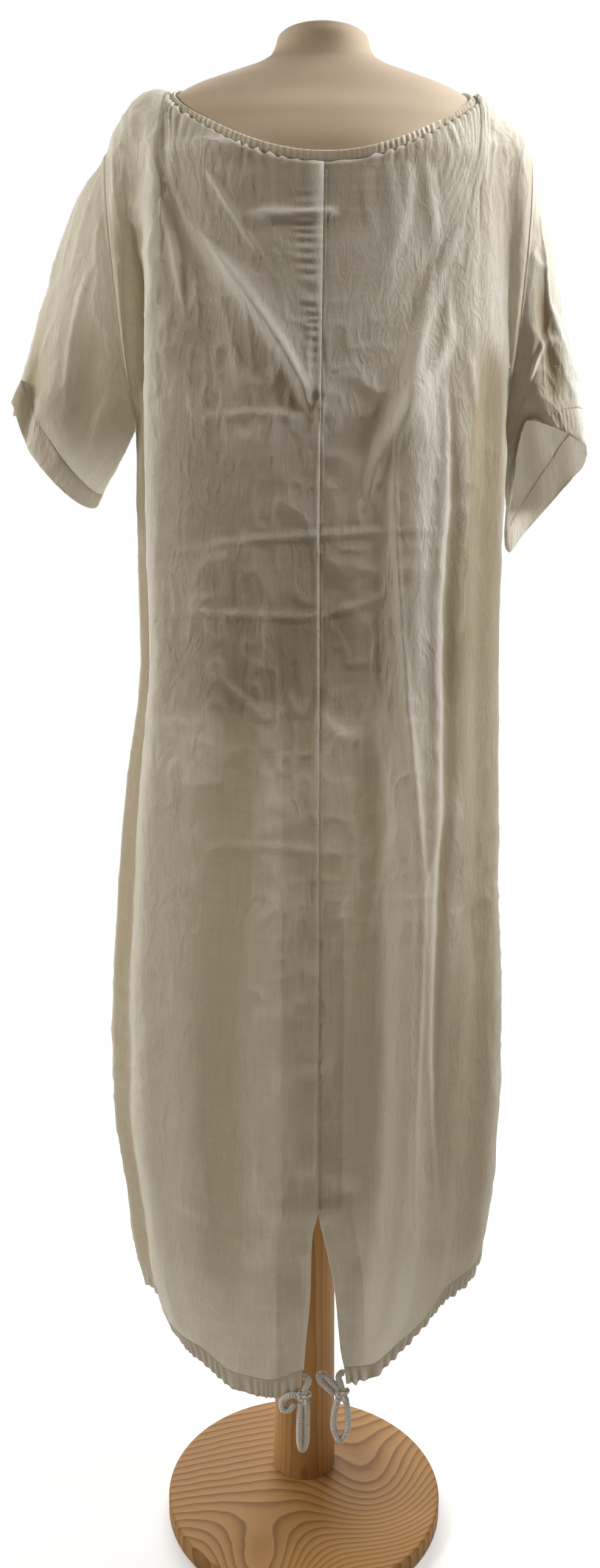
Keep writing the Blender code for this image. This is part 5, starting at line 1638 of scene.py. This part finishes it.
def sleeves() -> tuple[Sleeve, Sleeve]:
    """Both sleeves with their own cuts, folds and creases."""
    left = Sleeve(
        "left", -1.0,
        (
            Cut(0.00, 0.2255, 1.528, 0.197, 1.2550, 0.062, 0.000),
            Cut(0.25, 0.2570, 1.477, 0.207, 1.2350, 0.057, -0.001),
            Cut(0.50, 0.2855, 1.405, 0.217, 1.2150, 0.050, -0.006),
            Cut(0.75, 0.3100, 1.328, 0.229, 1.1910, 0.044, -0.016),
            Cut(1.00, 0.3300, 1.262, 0.241, 1.1660, 0.041, -0.023),
        ),
        (
            SleeveFold(0.80, 0.07, 0.60, 1.30, -0.0110),
            SleeveFold(0.42, 0.10, 0.15, 0.95, -0.0050),
            SleeveFold(-0.55, 0.12, 0.20, 1.20, -0.0060),
        ),
        (
            Crease(((0.285, 0.02), (0.270, 0.12), (0.262, 0.20)), 0.0050, 0.0026),
            Crease(((0.180, 0.03), (0.175, 0.14), (0.150, 0.24)), 0.0060, 0.0020),
            Crease(((0.070, 0.04), (0.090, 0.15), (0.080, 0.24)), 0.0070, 0.0024),
        ),
        101,
        notch=(0.82, 0.075, 0.026),
    )
    right = Sleeve(
        "right", 1.0,
        (
            Cut(0.00, 0.2190, 1.530, 0.199, 1.2550, 0.062, 0.000),
            Cut(0.25, 0.2390, 1.462, 0.209, 1.2360, 0.062, 0.004),
            Cut(0.50, 0.2570, 1.390, 0.211, 1.2160, 0.060, 0.022),
            Cut(0.75, 0.2755, 1.300, 0.210, 1.1900, 0.057, 0.064),
            Cut(1.00, 0.2895, 1.214, 0.209, 1.1640, 0.053, 0.115),
        ),
        (
            SleeveFold(0.55, 0.09, 0.10, 0.90, -0.0080),
            SleeveFold(0.80, 0.08, 0.35, 1.20, 0.0040),
            SleeveFold(-0.50, 0.12, 0.20, 1.20, -0.0060),
        ),
        (
            Crease(((0.230, 0.03), (0.190, 0.12), (0.235, 0.24)), 0.0060, 0.0030),
            Crease(((0.120, 0.02), (0.150, 0.12), (0.130, 0.22)), 0.0060, 0.0022),
            Crease(((0.270, 0.05), (0.262, 0.14), (0.275, 0.23)), 0.0050, 0.0022),
            Crease(((0.090, 0.09), (0.150, 0.13), (0.215, 0.20)), 0.0090, 0.0050),
        ),
        131,
        arch=0.24,
        far_share=0.55,
    )
    return left, right


def drawstring() -> tuple[CordEnd, CordEnd]:
    """Both ends of the drawstring, along the routes of their CAD solids."""
    p = RoutePoint
    left = CordEnd(
        "left", (-0.0022, -0.0998, 0.1735),
        (p(-0.0015, 0.000, 0.0240), p(0.0020, 0.000, 0.0240), p(0.0052, 0.000, 0.0190),
         p(0.0030, 0.000, 0.0130), p(0.0008, 0.000, 0.0074)),
        (p(-0.0036, 0.000, -0.0063), p(-0.0044, -0.001, -0.0280), p(-0.0040, 0.000, -0.0560),
         p(-0.0006, 0.001, -0.0660), p(0.0036, 0.001, -0.0560), p(0.0038, 0.000, -0.0280),
         p(0.0038, 0.000, -0.0063)),
        (p(-0.0070, 0.000, 0.0010), p(-0.0160, -0.001, 0.0020), p(-0.0245, -0.001, -0.0050),
         p(-0.0235, -0.001, -0.0150), p(-0.0160, -0.001, -0.0150), p(-0.0095, -0.001, -0.0060)),
    )
    right = CordEnd(
        "right", (0.0411, -0.0979, 0.1770),
        (p(0.0022, 0.000, 0.0250), p(-0.0010, 0.000, 0.0250), p(-0.0042, 0.000, 0.0200),
         p(-0.0022, 0.000, 0.0130), p(-0.0006, 0.000, 0.0072)),
        (p(-0.0038, 0.000, -0.0060), p(-0.0080, -0.001, -0.0220), p(-0.0090, -0.002, -0.0410),
         p(-0.0010, -0.002, -0.0570), p(0.0074, -0.001, -0.0420), p(0.0068, 0.000, -0.0220),
         p(0.0040, 0.000, -0.0060)),
        (p(-0.0040, 0.000, 0.0060), p(-0.0120, -0.001, 0.0150), p(-0.0200, -0.001, 0.0235),
         p(-0.0262, -0.001, 0.0225), p(-0.0250, -0.001, 0.0160), p(-0.0170, -0.001, 0.0075),
         p(-0.0090, -0.001, 0.0000)),
    )
    return left, right


def main() -> None:
    """Builds the camera, the cords, the cloth, the form, the foot and the studio."""
    logging.basicConfig(level=logging.INFO, format="%(name)s: %(message)s")
    studio = Studio()
    studio.camera()
    effects = Effects()
    linen = LinenFinish().make(effects)
    hemmed = LinenFinish("Linen, doubled", share_through=0.36, sheer=0.02).make(effects)
    under = LinenFinish("Linen, turned under", share_through=0.50, sheer=0.62).make(effects)
    cotton = CordFinish().make()
    for end in drawstring():
        end.build(cotton)
    form = DressForm()
    form.build(JerseyFinish().make(effects))
    board = PineFinish("Pine board", turn=(0.0, 0.0, -0.30), rings=95.0, swirl=2.2,
                       hills=((0.085, -0.060, 0.075, 0.095, 7.5), (-0.045, -0.200, 0.062, 0.090, 11.0)))
    stick = PineFinish("Pine pole", turn=(0.0, math.pi / 2, 0.0), rings=230.0, swirl=2.4, swirl_scale=1.5,
                       early=rgb(0.56, 0.33, 0.14), middle=rgb(0.47, 0.26, 0.10), late=rgb(0.34, 0.17, 0.06))
    WoodenFoot().build(board.make(effects), stick.make(effects))
    Body(form).build(linen, hemmed, under)
    # Painted shade: the right sleeve gets a copy of the linen that lets less light through, so that it looks
    # shaded.
    shaded = LinenFinish("Linen, shaded sleeve", share_through=0.33, sheer=0.05).make(effects)
    for sleeve, cloth in zip(sleeves(), (linen, shaded)):
        sleeve.build(cloth, hemmed)
    NeckBand(form).build(hemmed)
    studio.build()


if __name__ == "__main__":
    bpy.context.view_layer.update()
    main()
